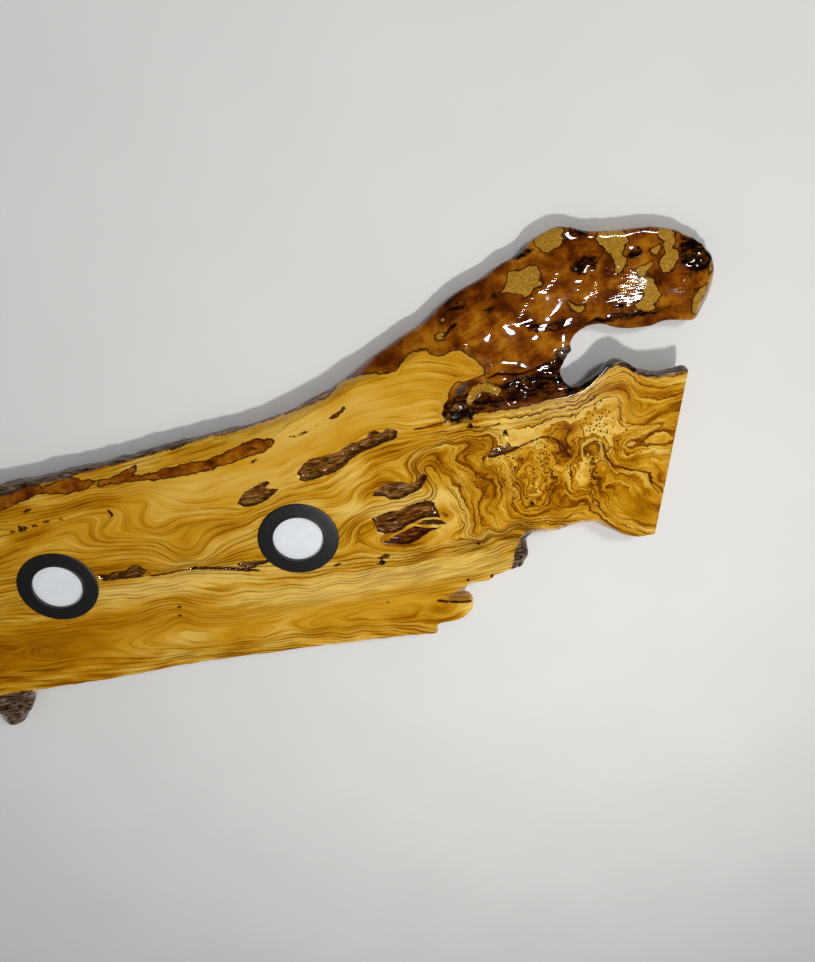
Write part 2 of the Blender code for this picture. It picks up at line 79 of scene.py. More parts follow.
# Each pocket: name, depth, width of its wall, height of the lumps on its floor, how red its rot is from 0
# to 1, and the outline of its mouth, in millimetres. A negative depth is wood left standing in a pocket.
POCKETS = (
    ("short pocket", 8.5, 3.5, 2.0, 0.2, (
        (-229, 7), (-224, 16), (-213, 25), (-200, 30), (-188, 34), (-180, 35), (-179, 31), (-186, 25),
        (-178, 22), (-169, 20), (-176, 14), (-186, 8), (-197, 3), (-210, 0), (-222, 1))),
    ("long pocket", 8.5, 3.5, 2.4, 0.15, (
        (-141, 27), (-139, 33), (-142, 37), (-137, 43), (-130, 50), (-118, 56), (-103, 57), (-90, 58),
        (-80, 60), (-68, 66), (-58, 69), (-44, 71), (-38, 78), (-30, 80), (-22, 76), (-16, 80),
        (-6, 77), (-1, 73), (-4, 64), (-10, 61), (-22, 60), (-33, 56), (-48, 53), (-60, 49), (-70, 44),
        (-80, 36), (-92, 30), (-105, 27), (-120, 25), (-132, 24))),
    ("lens pocket", 8.5, 3.0, 1.5, 0.1, (
        (-52, -15), (-45, -8), (-36, -3), (-27, 2), (-20, 3), (-14, 0), (-8, -1), (0, -6), (8, -5),
        (15, 1), (20, 6), (24, 6), (27, 1), (22, -6), (17, -14), (10, -18), (2, -21), (-8, -25),
        (-18, -27), (-28, -25), (-34, -20), (-42, -17))),
    ("lens in the lens pocket", -5.5, 3.0, 0.3, 0.0, (
        (-33, -15), (-25, -10), (-15, -8), (-6, -10), (2, -14), (-8, -16), (-20, -17))),
    ("block pocket", 7.5, 2.5, 1.2, 0.45, (
        (-58, -50), (-48, -46), (-35, -43), (-20, -42), (-5, -39), (2, -36), (12, -35), (18, -34),
        (25, -37), (30, -41), (32, -52), (34, -66), (28, -64), (14, -62), (0, -65), (-12, -69),
        (-22, -75), (-32, -77), (-45, -76), (-48, -73), (-53, -72))),
    ("boat pocket", 10.5, 5.0, 1.5, 1.0, (
        (-52, -91), (-38, -84), (-27, -79), (-14, -76), (-3, -71), (6, -74), (18, -79), (42, -79),
        (30, -82), (20, -84), (12, -88), (0, -95), (-12, -99), (-24, -99), (-38, -95), (-46, -92))),
    ("splinter hollow", 3.0, 2.5, 0.8, 0.0, (
        (2, -68), (12, -64), (24, -65), (34, -68), (44, -78), (30, -77), (14, -73), (4, -71))),
    ("long check", 6.0, 1.6, 0.8, 0.2, (
        (-322, -80), (-312, -77), (-303, -80), (-275, -85), (-258, -89), (-244, -93), (-226, -100),
        (-240, -100), (-255, -96), (-272, -91), (-290, -87), (-308, -83))),
    ("rotten end of the check", 6.0, 2.5, 2.0, 0.1, (
        (-255, -85), (-246, -82), (-234, -84), (-222, -84), (-210, -86), (-203, -87), (-213, -91),
        (-226, -93), (-232, -97), (-240, -96), (-248, -91))),
    ("crotch pit", 17.0, 5.0, 2.5, 0.0, (
        (62, 77), (66, 83), (72, 89), (80, 93), (90, 90), (98, 86), (100, 80), (95, 75), (86, 72),
        (76, 71), (68, 73))),
    ("burl pit", 8.0, 3.0, 1.5, 0.2, (
        (108, 13), (112, 20), (118, 26), (124, 29), (129, 27), (132, 23), (135, 27), (137, 32),
        (140, 28), (142, 23), (150, 23), (153, 20), (142, 16), (130, 14), (118, 12))),
    ("check over the burl", 3.0, 1.5, 0.3, 0.2, (
        (135, 46), (137, 50), (139, 46), (139, 41), (137, 38), (135, 42))),
    ("upper pinhole pit", 2.5, 1.5, 0.3, 0.3, ((-54, -109), (-50, -108), (-44, -109), (-50, -112))),
    ("lower pinhole pit", 4.0, 2.0, 0.6, 0.3, (
        (-63, -124), (-60, -120), (-56, -114), (-54, -119), (-52, -124), (-57, -126))),
    ("wormy patch", 1.9, 3.0, 3.4, 0.1, (
        (-446, -60), (-430, -66), (-418, -62), (-404, -64), (-396, -56), (-386, -58), (-378, -66),
        (-371, -74), (-370, -82), (-385, -82), (-400, -80), (-420, -79), (-440, -79))),
)

# How far beside a pocket the mesh is made fine, in millimetres, and how far below the face it still counts as
# the face. A mouth's edge wanders by the wobble. The floor's fibres have a width, a stretch and a slant.
POCKET_MARGIN = 3.0
POCKET_TOP = 3 * MM
POCKET_WOBBLE = 3.0
ROT_FIBRE = 6.0
FIBRE_STRETCH = 0.35
FIBRE_SLANT = 0.3


def merged_copy(node):
    """A bmesh of a node of the frame with its loose triangles joined."""
    bm = bmesh.new()
    bm.from_mesh(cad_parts[node].data)
    bmesh.ops.remove_doubles(bm, verts=bm.verts, dist=SAME_POINT)
    return bm


def islands(bm, walls):
    """The groups of points that hang together once the walls are taken out, the largest first."""
    met = set(walls)
    groups = []
    for start in bm.verts:
        if start in met:
            continue
        met.add(start)
        group = [start]
        for point in group:
            for edge in point.link_edges:
                other = edge.other_vert(point)
                if other not in met:
                    met.add(other)
                    group.append(other)
        groups.append(group)
    return sorted(groups, key=len, reverse=True)


def fill_pockets(bm):
    """Lifts every hollow that lies wholly in the sawn face up to it. Finer ones are cut later."""
    flush = [v for v in bm.verts if v.co.z > SAWN_FACE - FLUSH]
    for pocket in islands(bm, flush)[1:]:
        for point in pocket:
            point.co.z = SAWN_FACE


def raise_face(bm, height):
    """Adds wood to plane away, so that the even mesh has a flat face to be cut to."""
    top = [f for f in bm.faces if min(v.co.z for v in f.verts) > SAWN_FACE - FLUSH]
    grown = bmesh.ops.extrude_face_region(bm, geom=top)["geom"]
    bmesh.ops.delete(bm, geom=top, context="FACES")
    points = [g for g in grown if isinstance(g, bmesh.types.BMVert)]
    bmesh.ops.translate(bm, verts=points, vec=(0, 0, height))


def new_object(name, bm):
    """A finished object from a bmesh, at the origin and shaded smooth."""
    mesh = bpy.data.meshes.new(name)
    bm.to_mesh(mesh)
    bm.free()
    mesh.shade_smooth()
    piece = bpy.data.objects.new(name, mesh)
    bpy.context.scene.collection.objects.link(piece)
    return piece


def through_modifier(bm, kind, points=None, **settings):
    """The bmesh after one modifier, given by its kind and settings, at all its points or at some."""
    piece = new_object("workpiece", bm)
    modifier = piece.modifiers.new(kind.title(), kind)
    if points is not None:
        group = piece.vertex_groups.new(name="points")
        group.add(list(points), 1.0, "REPLACE")
        modifier.vertex_group = group.name
    for name, value in settings.items():
        setattr(modifier, name, value)
    bpy.context.view_layer.update()
    shaped = piece.evaluated_get(bpy.context.evaluated_depsgraph_get()).to_mesh()
    result = bmesh.new()
    result.from_mesh(shaped)
    mesh = piece.data
    bpy.data.objects.remove(piece)
    bpy.data.meshes.remove(mesh)
    return result


def plane_face(bm):
    """Planes the wood above the sawn face down to it, and keeps the even mesh there."""
    every = bm.verts[:] + bm.edges[:] + bm.faces[:]
    bmesh.ops.bisect_plane(bm, geom=every, dist=FLUSH, plane_co=(0, 0, SAWN_FACE), plane_no=(0, 0, 1))
    for point in bm.verts:
        point.co.z = min(point.co.z, SAWN_FACE)
    bmesh.ops.remove_doubles(bm, verts=bm.verts, dist=MERGED_IN_PLANING)
    bmesh.ops.dissolve_degenerate(bm, edges=bm.edges, dist=FLUSH)


def positions(bm):
    """The places of a bmesh's points."""
    return np.array([v.co for v in bm.verts])


def place_points(bm, places):
    """Moves a bmesh's points to places of their own."""
    for point, place in zip(bm.verts, places):
        point.co = place


def beyond_cut(points, cut):
    """How far points stand out of the wood at a saw cut, and which of them the saw could reach."""
    place, out, side = cut
    stand = (points - np.array(place)) @ np.array(out)
    return stand, side * (points[:, 1] - FORK_BAY) >= 0


def square_ends(bm):
    """Sets the even mesh's rounded ends back to the planes that the saw left."""
    points = positions(bm)
    for cut in SAW_CUTS:
        stand, reached = beyond_cut(points, cut)
        move = np.where(reached & (stand > -SAW_HOLD), stand, 0.0)
        points -= move[:, None] * np.array(cut[1])
    place_points(bm, points)


def thin(bm, is_hidden, share):
    """Keeps about that share of the triangles at the hidden points, where fewer and larger ones will do."""
    bmesh.ops.triangulate(bm, faces=bm.faces)
    hidden = {v.index for v in bm.verts if is_hidden(v.co)}
    there = sum(1 for f in bm.faces if all(v.index in hidden for v in f.verts))
    ratio = 1 - (1 - share) * there / len(bm.faces)
    return through_modifier(bm, "DECIMATE", hidden, ratio=ratio)


def drawn(points):
    """Where points of the part lie on the drawing of the face, in millimetres."""
    return np.asarray(points)[:, :2] / MM + DRAWING_CENTRE


def inside_by(outline, places):
    """How far inside an outline each place lies. Outside it the distance is negative."""
    corners = np.array(outline, float)
    nearest = np.full(len(places), np.inf)
    within = np.zeros(len(places), bool)
    for a, b in zip(corners, np.roll(corners, -1, axis=0)):
        along = b - a
        share = np.clip((places - a) @ along / (along @ along), 0, 1)
        nearest = np.minimum(nearest, np.linalg.norm(places - a - share[:, None] * along, axis=1))
        crosses = (a[1] > places[:, 1]) != (b[1] > places[:, 1])
        if a[1] != b[1]:
            meets = a[0] + (places[:, 1] - a[1]) * along[0] / along[1]
            within ^= crosses & (places[:, 0] < meets)
    return np.where(within, nearest, -nearest)


def smooth(low, high, value):
    """0 below low, 1 above high and a smooth rise between them."""
    share = np.clip((value - low) / (high - low), 0, 1)
    return share * share * (3 - 2 * share)


# The noise that lumps are drawn from: random heights, which large primes pick for each cell.
NOISE_TABLE = np.random.default_rng(7).random(4096)
NOISE_SHIFT = 31.7
AXIS_PRIMES = (73856093, 19349663, 83492791)
KIND_PRIME = 7919


def lumps(places, size, kind):
    """Smooth noise from 0 to 1 with lumps of that size, the same in every run. Each kind is another noise."""
    scaled = np.asarray(places, float) / size + NOISE_SHIFT * (kind + 1)
    cell = np.floor(scaled).astype(np.int64)
    share = scaled - cell
    share = share * share * (3 - 2 * share)
    total = np.zeros(len(scaled))
    for corner in range(2 ** scaled.shape[1]):
        key = np.full(len(scaled), kind * KIND_PRIME, np.int64)
        weight = np.ones(len(scaled))
        for axis in range(scaled.shape[1]):
            high = (corner >> axis) & 1
            key ^= (cell[:, axis] + high) * AXIS_PRIMES[axis]
            weight *= share[:, axis] if high else 1 - share[:, axis]
        total += weight * NOISE_TABLE[(key ^ (key >> 13)) & (len(NOISE_TABLE) - 1)]
    return total


def rough(places, size, kind, layers=4):
    """Layered noise from 0 to 1, each layer half the size and half the height of the one before."""
    heights = [0.5 ** layer for layer in range(layers)]
    total = sum(h * lumps(places, size * h, kind + n) for n, h in enumerate(heights))
    return total / sum(heights)


def pocket_depth(places):
    """How deep the wood is eaten away at places on the drawing, in millimetres, and how red its rot is."""
    wobble = np.c_[rough(places, size=9, kind=1), rough(places, size=9, kind=5)] - 0.5
    shifted = places + POCKET_WOBBLE * wobble
    fibrous = np.c_[FIBRE_STRETCH * places[:, 0], places[:, 1] - FIBRE_SLANT * places[:, 0]]
    depth = np.zeros(len(places))
    redness = np.zeros(len(places))
    for _, deep, wall, lumpy, red, outline in POCKETS:
        reach = inside_by(outline, shifted)
        floor = deep + lumpy * 2 * (rough(fibrous, ROT_FIBRE, kind=9) - 0.5)
        cut = floor * smooth(0, wall, reach)
        depth = np.where(cut < 0, depth + cut, np.maximum(depth, cut))
        redness = np.where(reach > -1, red, redness)
    return depth, redness


def near_pocket(places):
    """Whether each place of the drawing is in a pocket or just beside it."""
    outlines = (pocket[-1] for pocket in POCKETS)
    return np.max([inside_by(outline, places) for outline in outlines], axis=0) > -POCKET_MARGIN


def refine(bm, is_near):
    """Splits the face's triangles near a fine mark, so that its edges can be sharp or steep."""
    points = positions(bm)
    near = is_near(drawn(points)) & (points[:, 2] > SAWN_FACE - POCKET_TOP)
    bm.verts.index_update()
    edges = [e for e in bm.edges if near[e.verts[0].index] and near[e.verts[1].index]]
    bmesh.ops.subdivide_edges(bm, edges=edges, cuts=1, use_grid_fill=True)
    bmesh.ops.triangulate(bm, faces=[f for f in bm.faces if len(f.verts) > 3])


def cut_pockets(bm):
    """Sinks the points in the pockets' mouths to the pockets' floors."""
    points = positions(bm)
    depth = pocket_depth(drawn(points))[0]
    eaten = (depth > 0) & (points[:, 2] > SAWN_FACE - POCKET_TOP)
    points[eaten, 2] = SAWN_FACE - depth[eaten] * MM
    place_points(bm, points)


# The tree's own surface.
# The bark was peeled off the limb and the upper edge. That leaves a thin brown inner skin, scraped through
# to the sapwood in patches with a dark rim. The fork, the corners and the spur still carry rough bark.

# The pith of the limb, and the outlines of the skin, its bare patches and the bark, in millimetres on the
# drawing. The outlines are closed outside the wood.
LIMB_PITH = (
    (-640, 30), (-400, 62), (-300, 72), (-160, 100), (-60, 150), (30, 168), (110, 195), (180, 225),
    (250, 228), (330, 212), (440, 198),
)
BROWN_SKIN = (
    ((-230, 111), (-200, 113), (-180, 117), (-160, 121), (-140, 126), (-120, 127), (-100, 133), (-85, 136),
     (-75, 142), (-60, 155), (-45, 158), (-28, 158), (-15, 158), (-5, 156), (8, 156), (18, 166), (30, 175),
     (36, 178), (52, 177), (57, 170), (65, 167), (75, 167), (85, 170), (95, 168), (99, 163), (108, 154),
     (115, 146), (120, 143), (121, 137), (117, 131), (110, 128), (95, 127), (86, 128), (78, 123),
     (70, 113), (68, 104), (60, 88), (62, 76), (100, 80), (140, 78), (170, 78), (185, 81), (215, 81),
     (230, 84), (240, 92), (262, 110), (262, 126), (480, 126), (480, 340), (-60, 340), (-230, 160)),
    ((-352, 74), (-340, 73), (-325, 74), (-310, 77), (-295, 78), (-270, 79), (-250, 79), (-235, 82),
     (-215, 88), (-200, 93), (-180, 97), (-165, 94), (-158, 88), (-165, 83), (-178, 77), (-200, 73),
     (-220, 70), (-240, 67), (-260, 64), (-280, 62), (-300, 63), (-330, 65), (-350, 67), (-380, 69),
     (-403, 68), (-397, 72), (-395, 77), (-385, 76), (-365, 82), (-348, 88), (-342, 88), (-343, 82),
     (-350, 76)),
    ((-138, 92), (-125, 93), (-110, 98), (-97, 103), (-105, 100), (-120, 94), (-130, 90)),
    ((-90, 107), (-75, 113), (-62, 120), (-60, 117), (-75, 109), (-88, 107)),
    ((-470, 80), (-450, 86), (-430, 87), (-418, 85), (-417, 81), (-410, 80), (-400, 79), (-398, 76),
     (-410, 70), (-425, 66), (-430, 68), (-440, 64), (-452, 68), (-460, 70), (-480, 72), (-500, 66),
     (-535, 57), (-640, 50), (-840, 46), (-840, 170), (-475, 170)),
)
BARE_PATCHES = (
    ((196, 288), (204, 295), (213, 300), (232, 299), (235, 296), (229, 290), (233, 285), (237, 284),
     (230, 278), (222, 273), (212, 271), (203, 274), (198, 280), (197, 286)),
    ((148, 233), (154, 236), (157, 244), (161, 252), (167, 256), (180, 255), (188, 257), (196, 257),
     (201, 256), (201, 246), (200, 240), (205, 234), (199, 231), (192, 228), (187, 222), (181, 220),
     (176, 225), (170, 228), (163, 232), (155, 231)),
    ((228, 203), (231, 208), (236, 205), (241, 204), (245, 201), (251, 199), (252, 195), (248, 191),
     (240, 193), (233, 199), (228, 200)),
    ((62, 193), (65, 196), (70, 196), (74, 194), (78, 194), (76, 188), (70, 186), (64, 188)),
    ((84, 199), (87, 202), (92, 202), (92, 199), (88, 197), (84, 197)),
    ((72, 210), (78, 212), (80, 209), (75, 208)),
    ((271, 285), (275, 287), (300, 284), (302, 280), (306, 274), (308, 268), (303, 258), (300, 251),
     (304, 246), (304, 236), (300, 231), (295, 229), (290, 233), (291, 240), (289, 250), (284, 258),
     (276, 267), (271, 277)),
    ((343, 275), (348, 277), (357, 275), (366, 268), (364, 262), (362, 255), (360, 250), (366, 246),
     (367, 235), (362, 230), (360, 223), (350, 222), (343, 230), (342, 238), (350, 244), (347, 252),
     (349, 259), (344, 264), (343, 270)),
    ((336, 258), (345, 256), (343, 250), (340, 244), (334, 245), (331, 252)),
    ((312, 234), (322, 236), (334, 238), (335, 230), (330, 226), (325, 223), (315, 226), (311, 230)),
    ((318, 222), (328, 222), (336, 217), (338, 210), (342, 203), (345, 196), (341, 190), (336, 186),
     (338, 180), (328, 176), (318, 178), (313, 183), (310, 186), (318, 190), (322, 198), (319, 206),
     (314, 214)),
    ((380, 170), (379, 178), (384, 184), (390, 192), (398, 199), (401, 197), (396, 185), (392, 172),
     (389, 164), (384, 162)),
    ((403, 208), (402, 220), (405, 228), (408, 224), (407, 212)),
    ((88, 97), (92, 106), (98, 113), (106, 118), (116, 119), (126, 118), (133, 114), (139, 106),
     (135, 103), (127, 101), (122, 104), (120, 101), (112, 103), (104, 99), (97, 92), (91, 90)),
    ((-196, 85), (-190, 87), (-182, 85), (-188, 82)),
)
BARK = (
    ((-840, 66), (-640, 70), (-540, 76), (-500, 81), (-470, 85), (-440, 87), (-400, 92), (-360, 96),
     (-330, 99), (-310, 101), (-285, 103), (-270, 106), (-255, 109), (-240, 112), (-200, 117), (-160, 125),
     (-120, 132), (-75, 145), (-75, 200), (-840, 170)),
    ((78, 110), (84, 120), (95, 126), (97, 119), (90, 112), (84, 106)),
    ((150, 95), (155, 108), (165, 112), (172, 105), (185, 100), (180, 93), (165, 90)),
    ((205, 135), (212, 145), (222, 151), (230, 150), (240, 152), (234, 141), (218, 132), (208, 131)),
    ((222, 78), (236, 86), (249, 90), (262, 100), (275, 109), (288, 111), (301, 104), (312, 94), (322, 89),
     (345, 86), (372, 87), (386, 88), (400, 88), (400, 128), (222, 128)),
    ((366, 225), (372, 236), (384, 246), (396, 252), (405, 262), (420, 262), (416, 232), (400, 226),
     (385, 232)),
    ((118, -178), (122, -160), (128, -140), (138, -120), (150, -108), (156, -118), (156, -180)),
    ((-720, -262), (-690, -250), (-650, -240), (-600, -240), (-585, -262), (-585, -340), (-720, -340)),
)

# Dark lines in the wood and its skin, and one line of painted shade: how black from 0 to 1, width and
# course, in millimetres.
DARK_LINES = (
    (1.0, 3.6, ((123, 125), (135, 129), (145, 127), (155, 124), (165, 123), (185, 128), (205, 130))),
    (1.0, 4.2, (
        (140, 108), (150, 112), (160, 116), (175, 115), (190, 113), (202, 110), (212, 106), (220, 102))),
    (0.6, 3.0, ((160, 96), (185, 95), (210, 97), (235, 99))),
    (1.0, 3.2, ((74, 189), (80, 192), (86, 199), (93, 203))),
    (0.8, 2.4, ((20, 73), (32, 72), (45, 74), (60, 75))),
    (1.0, 2.6, ((-322, -80), (-312, -78), (-303, -80), (-275, -86), (-250, -93), (-226, -100))),
    (0.6, 2.6, ((-372, -80), (-350, -81), (-335, -79), (-322, -80))),
    (0.6, 2.6, ((-203, -87), (-212, -88), (-228, -86))),
    (0.8, 3.2, ((150, 21), (165, 26), (180, 30), (190, 29), (200, 24), (207, 15), (211, 4), (217, -6))),
    (0.4, 1.9, (
        (285, 66), (286, 50), (286, 38), (290, 31), (300, 27), (315, 23), (335, 21), (341, 20), (338, 15),
        (328, 10), (312, 6), (299, 3), (292, 0), (292, -5), (298, -7), (315, -7), (332, -9), (352, -11))),
    (0.4, 1.8, ((238, 0), (237, 15), (237, 28), (233, 38))),
    (0.5, 2.4, (
        (261, 5), (263, -8), (266, -20), (273, -30), (284, -35), (295, -41), (308, -45), (319, -50),
        (321, -60), (324, -72), (332, -84))),
    (0.4, 1.7, ((161, -60), (166, -63), (167, -69), (161, -72), (156, -69), (156, -63), (161, -60))),
    (0.4, 2.0, (
        (182, -30), (181, -45), (183, -58), (188, -72), (195, -80), (210, -83), (225, -82), (242, -84))),
    (0.4, 2.0, ((208, -42), (209, -56), (214, -63), (225, -61))),
    (0.5, 2.4, ((88, 63), (100, 60), (118, 58), (130, 60))),
    # Painted shade: this black line stands for the shadowed inside of the slit between tongue and body.
    (1.0, 4.5, ((12, -201), (20, -204), (30, -207), (44, -210), (56, -211))),
    (0.45, 1.6, (
        (158, -121), (180, -122), (205, -121), (236, -119), (252, -128), (270, -138), (292, -149))),
)

# Dark spots: how black from 0 to 1, middle, half length, half width and turn in degrees.
DARK_SPOTS = (
    (0.8, 330, 222, 5, 2, 30), (0.8, 345, 222, 5, 2, -30), (1.0, 82, 82, 17, 9, 5),
    (1.0, 214, 105, 9, 6, -10), (0.6, 112, 102, 12, 5, 10), (0.9, -518, 27, 3, 5, 0),
    (0.9, -512, 26, 2.5, 4, 0), (0.8, -498, 28, 4, 3, 0), (0.8, -482, 30, 5, 2.2, 0),
    (0.7, -530, 24, 5, 2.2, 0), (0.8, -461, 30, 3, 2, 0), (0.8, -500, 51, 6, 2.2, 10),
    (1.0, 57, -175, 2.2, 2.2, 0), (1.0, 92, -174, 2.2, 2.2, 0), (1.0, -59, -189, 2.2, 2.2, 0),
    (0.9, 80, -117, 2.4, 2.4, 0), (1.0, 95, 63, 2.2, 4, 0), (0.9, 161, -66, 3, 3, 0),
    (0.9, -396, 27, 3, 5, 10), (0.9, -192, 67, 5, 2, 15), (0.9, -118, -113, 6, 3, 0),
    (0.8, -53, -112, 8, 3, 10), (0.9, -57, -121, 5, 4, 0), (0.9, 136, 44, 2.5, 5, 0),
    (0.8, 92, -77, 2, 2, 0), (0.8, -350, -139, 3.2, 1.8, 0), (0.7, -353, -153, 2.4, 1.6, 0),
)

# Where the skin is a thick black crust: middle, half length, half width, turn in degrees and amount.
CRUST = (
    (150, 101, 75, 16, 3, 1.3), (212, 118, 26, 20, 0, 1.2), (80, 88, 22, 14, 0, 0.8),
    (390, 240, 22, 30, 0, 1.3), (237, 93, 22, 9, 20, 0.9), (264, 108, 18, 9, 35, 0.9),
    (300, 104, 14, 7, -35, 0.8), (300, 176, 75, 6, 0, 0.9), (182, 274, 13, 5, 10, 1.0),
    (97, 224, 15, 8, 30, 0.9), (144, 230, 9, 6, 0, 0.8), (135, 212, 13, 6, 10, 0.8),
    (184, 187, 14, 9, -20, 1.0), (213, 179, 16, 7, 5, 0.9), (254, 249, 17, 12, 20, 1.2),
    (251, 291, 15, 10, 0, 0.9), (314, 251, 12, 9, 0, 0.9), (293, 190, 11, 5, 0, 0.9),
)

# The eye that the drawing was made from, which settles where a mark on the rounded limb lies.
EYE = np.array((0.2293, 0.6066, 1.1362))

# How far outlines and lines are felt and how far beside a dark line the mesh is made fine, in millimetres,
# and how far a dark spot's rim strays, in half widths.
FADE = 8.0
LINE_MARGIN = 1.5
SPOT_RAG = 2.2

# The heights of the ridges, crags, flakes and crust in millimetres, the share of the flakes that smooth wood
# has, how much longer than wide the ridges are, and how the crags and the crust are drawn out lengthways.
LIMB_RIDGE = 0.9
CRAG = 2.6
FLAKE = 0.5
SMOOTH_FLAKE = 0.1
CRUST_HEIGHT = 2.6
RIDGE_STRETCH = 8
CRAG_STRETCH = (0.6, 1, 1)
CRUST_STRETCH = (0.5, 1, 1)

# How far the tree's own surface keeps from a lamp, where it sets in below the face, above the back and beside
# a saw cut, and how often the limb was scraped.
LAMP_CLEARANCE = 70 * MM
FACE_FADE = (0.5 * MM, 4 * MM)
BACK_FADE = (0, 4 * MM)
CUT_FADE = (0.5 * MM, 3 * MM)
SCRAPINGS = 12


def seen(points):
    """Where points show on the drawing to the eye that it was drawn from, in millimetres."""
    share = (EYE[2] - SAWN_FACE) / (EYE[2] - points[:, 2])
    return drawn(EYE + (points - EYE) * share[:, None])


def near_outline(corners, places):
    """Whether each place is near enough to the box round some corners for them to be felt there."""
    corners = np.array(corners, float)
    return np.all((places > corners.min(axis=0) - FADE) & (places < corners.max(axis=0) + FADE), axis=1)


def reach_in(outlines, places):
    """How far inside the nearest of some outlines each place lies, up to FADE either way."""
    reach = np.full(len(places), -FADE)
    for outline in outlines:
        near = near_outline(outline, places)
        reach[near] = np.maximum(reach[near], inside_by(outline, places[near]))
    return np.minimum(reach, FADE)


def beside_line(course, places):
    """Distance to the left of a course and length along it, for each place."""
    course = np.array(course, float)
    nearest = np.full(len(places), np.inf)
    offset = np.zeros(len(places))
    along = np.zeros(len(places))
    start = 0.0
    for a, b in zip(course, course[1:]):
        step = b - a
        length = np.linalg.norm(step)
        share = np.clip((places - a) @ step / length ** 2, 0, 1)
        gap = places - a - share[:, None] * step
        distance = np.linalg.norm(gap, axis=1)
        side = np.sign(step[0] * gap[:, 1] - step[1] * gap[:, 0])
        closer = distance < nearest
        nearest = np.where(closer, distance, nearest)
        offset = np.where(closer, side * distance, offset)
        along = np.where(closer, start + share * length, along)
        start += length
    return offset, along


def dark_reach(places, least=0.0, below=math.inf):
    """How far inside a dark line or a ragged dark spot of that range of blackness each place lies."""
    reach = np.full(len(places), -FADE)
    for black, width, course in DARK_LINES:
        near = near_outline(course, places)
        if least <= black < below and near.any():
            offset = beside_line(course, places[near])[0]
            reach[near] = np.maximum(reach[near], width / 2 - abs(offset))
    ragged = np.c_[
        rough(places, size=7, kind=41, layers=2), rough(places, size=7, kind=44, layers=2)] - 0.5
    for black, x, y, *oval in DARK_SPOTS:
        if least <= black < below:
            shifted = places + SPOT_RAG * oval[1] * ragged
            reach = np.maximum(reach, oval[1] * (1 - ellipse(shifted, x, y, *oval)))
    return reach


def ellipse(places, x, y, half_length, half_width, turn):
    """0 in the middle of an ellipse, 1 on its rim and more outside it."""
    away = places - (x, y)
    cos, sin = math.cos(math.radians(turn)), math.sin(math.radians(turn))
    along = away[:, 0] * cos + away[:, 1] * sin
    across = away[:, 1] * cos - away[:, 0] * sin
    return np.hypot(along / half_length, across / half_width)


def amount(blobs, places):
    """The sum of some soft oval blobs at each place."""
    total = np.zeros(len(places))
    for *oval, strength in blobs:
        total += strength * np.exp(-ellipse(places, *oval) ** 2)
    return total


def natural_share(points):
    """1 on the tree's own surface and 0 on what was sawn, turned or cut."""
    share = smooth(*FACE_FADE, SAWN_FACE - points[:, 2]) * smooth(*BACK_FADE, points[:, 2])
    for low, high in LAMPS.values():
        middle = (low + high) / 2
        share *= np.hypot(points[:, 0] - middle.x, points[:, 1] - middle.y) > LAMP_CLEARANCE
    for cut in SAW_CUTS:
        stand, reached = beyond_cut(points, cut)
        share *= np.where(reached, smooth(*CUT_FADE, -stand), 1)
    return share


def scrape_limb(bm):
    """Takes the flats off the limb, which was scraped round and smooth."""
    points = positions(bm)
    round_wood = (natural_share(points) > 0.9) & (reach_in(BROWN_SKIN[:1], seen(points)) > 0)
    limb = [v for v, is_round in zip(bm.verts, round_wood) if is_round]
    for _ in range(SCRAPINGS):
        bmesh.ops.smooth_vert(bm, verts=limb, factor=0.5, use_axis_x=True, use_axis_y=True, use_axis_z=True)


def roughen(bm):
    """Gives the tree's own surface its ridges, crags and flakes, inside the box that the slab is cut to."""
    bm.normal_update()
    points = positions(bm)
    normals = np.array([v.normal for v in bm.verts])
    places = seen(points)
    across, along = beside_line(LIMB_PITH, places)
    grain = np.c_[along / RIDGE_STRETCH, across, points[:, 2] / MM]
    barky = smooth(-3, 1, reach_in(BARK, places))
    flaky = SMOOTH_FLAKE + (1 - SMOOTH_FLAKE) * barky
    crusty = np.clip(amount(CRUST, places), 0, 1) * smooth(-2, 2, reach_in(BROWN_SKIN[:1], places))
    craggy = rough(points / MM * CRAG_STRETCH, size=13, kind=21, layers=3)
    cracked = rough(points / MM * CRUST_STRETCH, size=8, kind=61, layers=3)
    height = LIMB_RIDGE * (rough(grain, size=20, kind=3, layers=1) - 0.5) * 2 * (1 - barky)
    height += CRAG * (craggy - 0.5) * 2 * barky
    height += FLAKE * (rough(points / MM, size=6, kind=12, layers=2) - 0.5) * 2 * flaky
    height += CRUST_HEIGHT * (cracked - 0.5) * 2 * crusty
    points += normals * (natural_share(points) * height * MM)[:, None]
    place_points(bm, np.clip(points, SLAB_BOX[0], SLAB_BOX[1]))


slab = merged_copy("olive_slab")
fill_pockets(slab)
raise_face(slab, FACE_MARGIN)
slab = through_modifier(slab, "REMESH", mode="VOXEL", voxel_size=CELL)
plane_face(slab)
square_ends(slab)
slab = thin(slab, lambda place: place.z < ON_BACK, BACK_SHARE)
slab = thin(slab, lambda place: place.z < LOW_SIDE, LOW_SIDE_SHARE)
refine(slab, lambda places: dark_reach(places) > -LINE_MARGIN)
refine(slab, near_pocket)
cut_pockets(slab)
scrape_limb(slab)
roughen(slab)


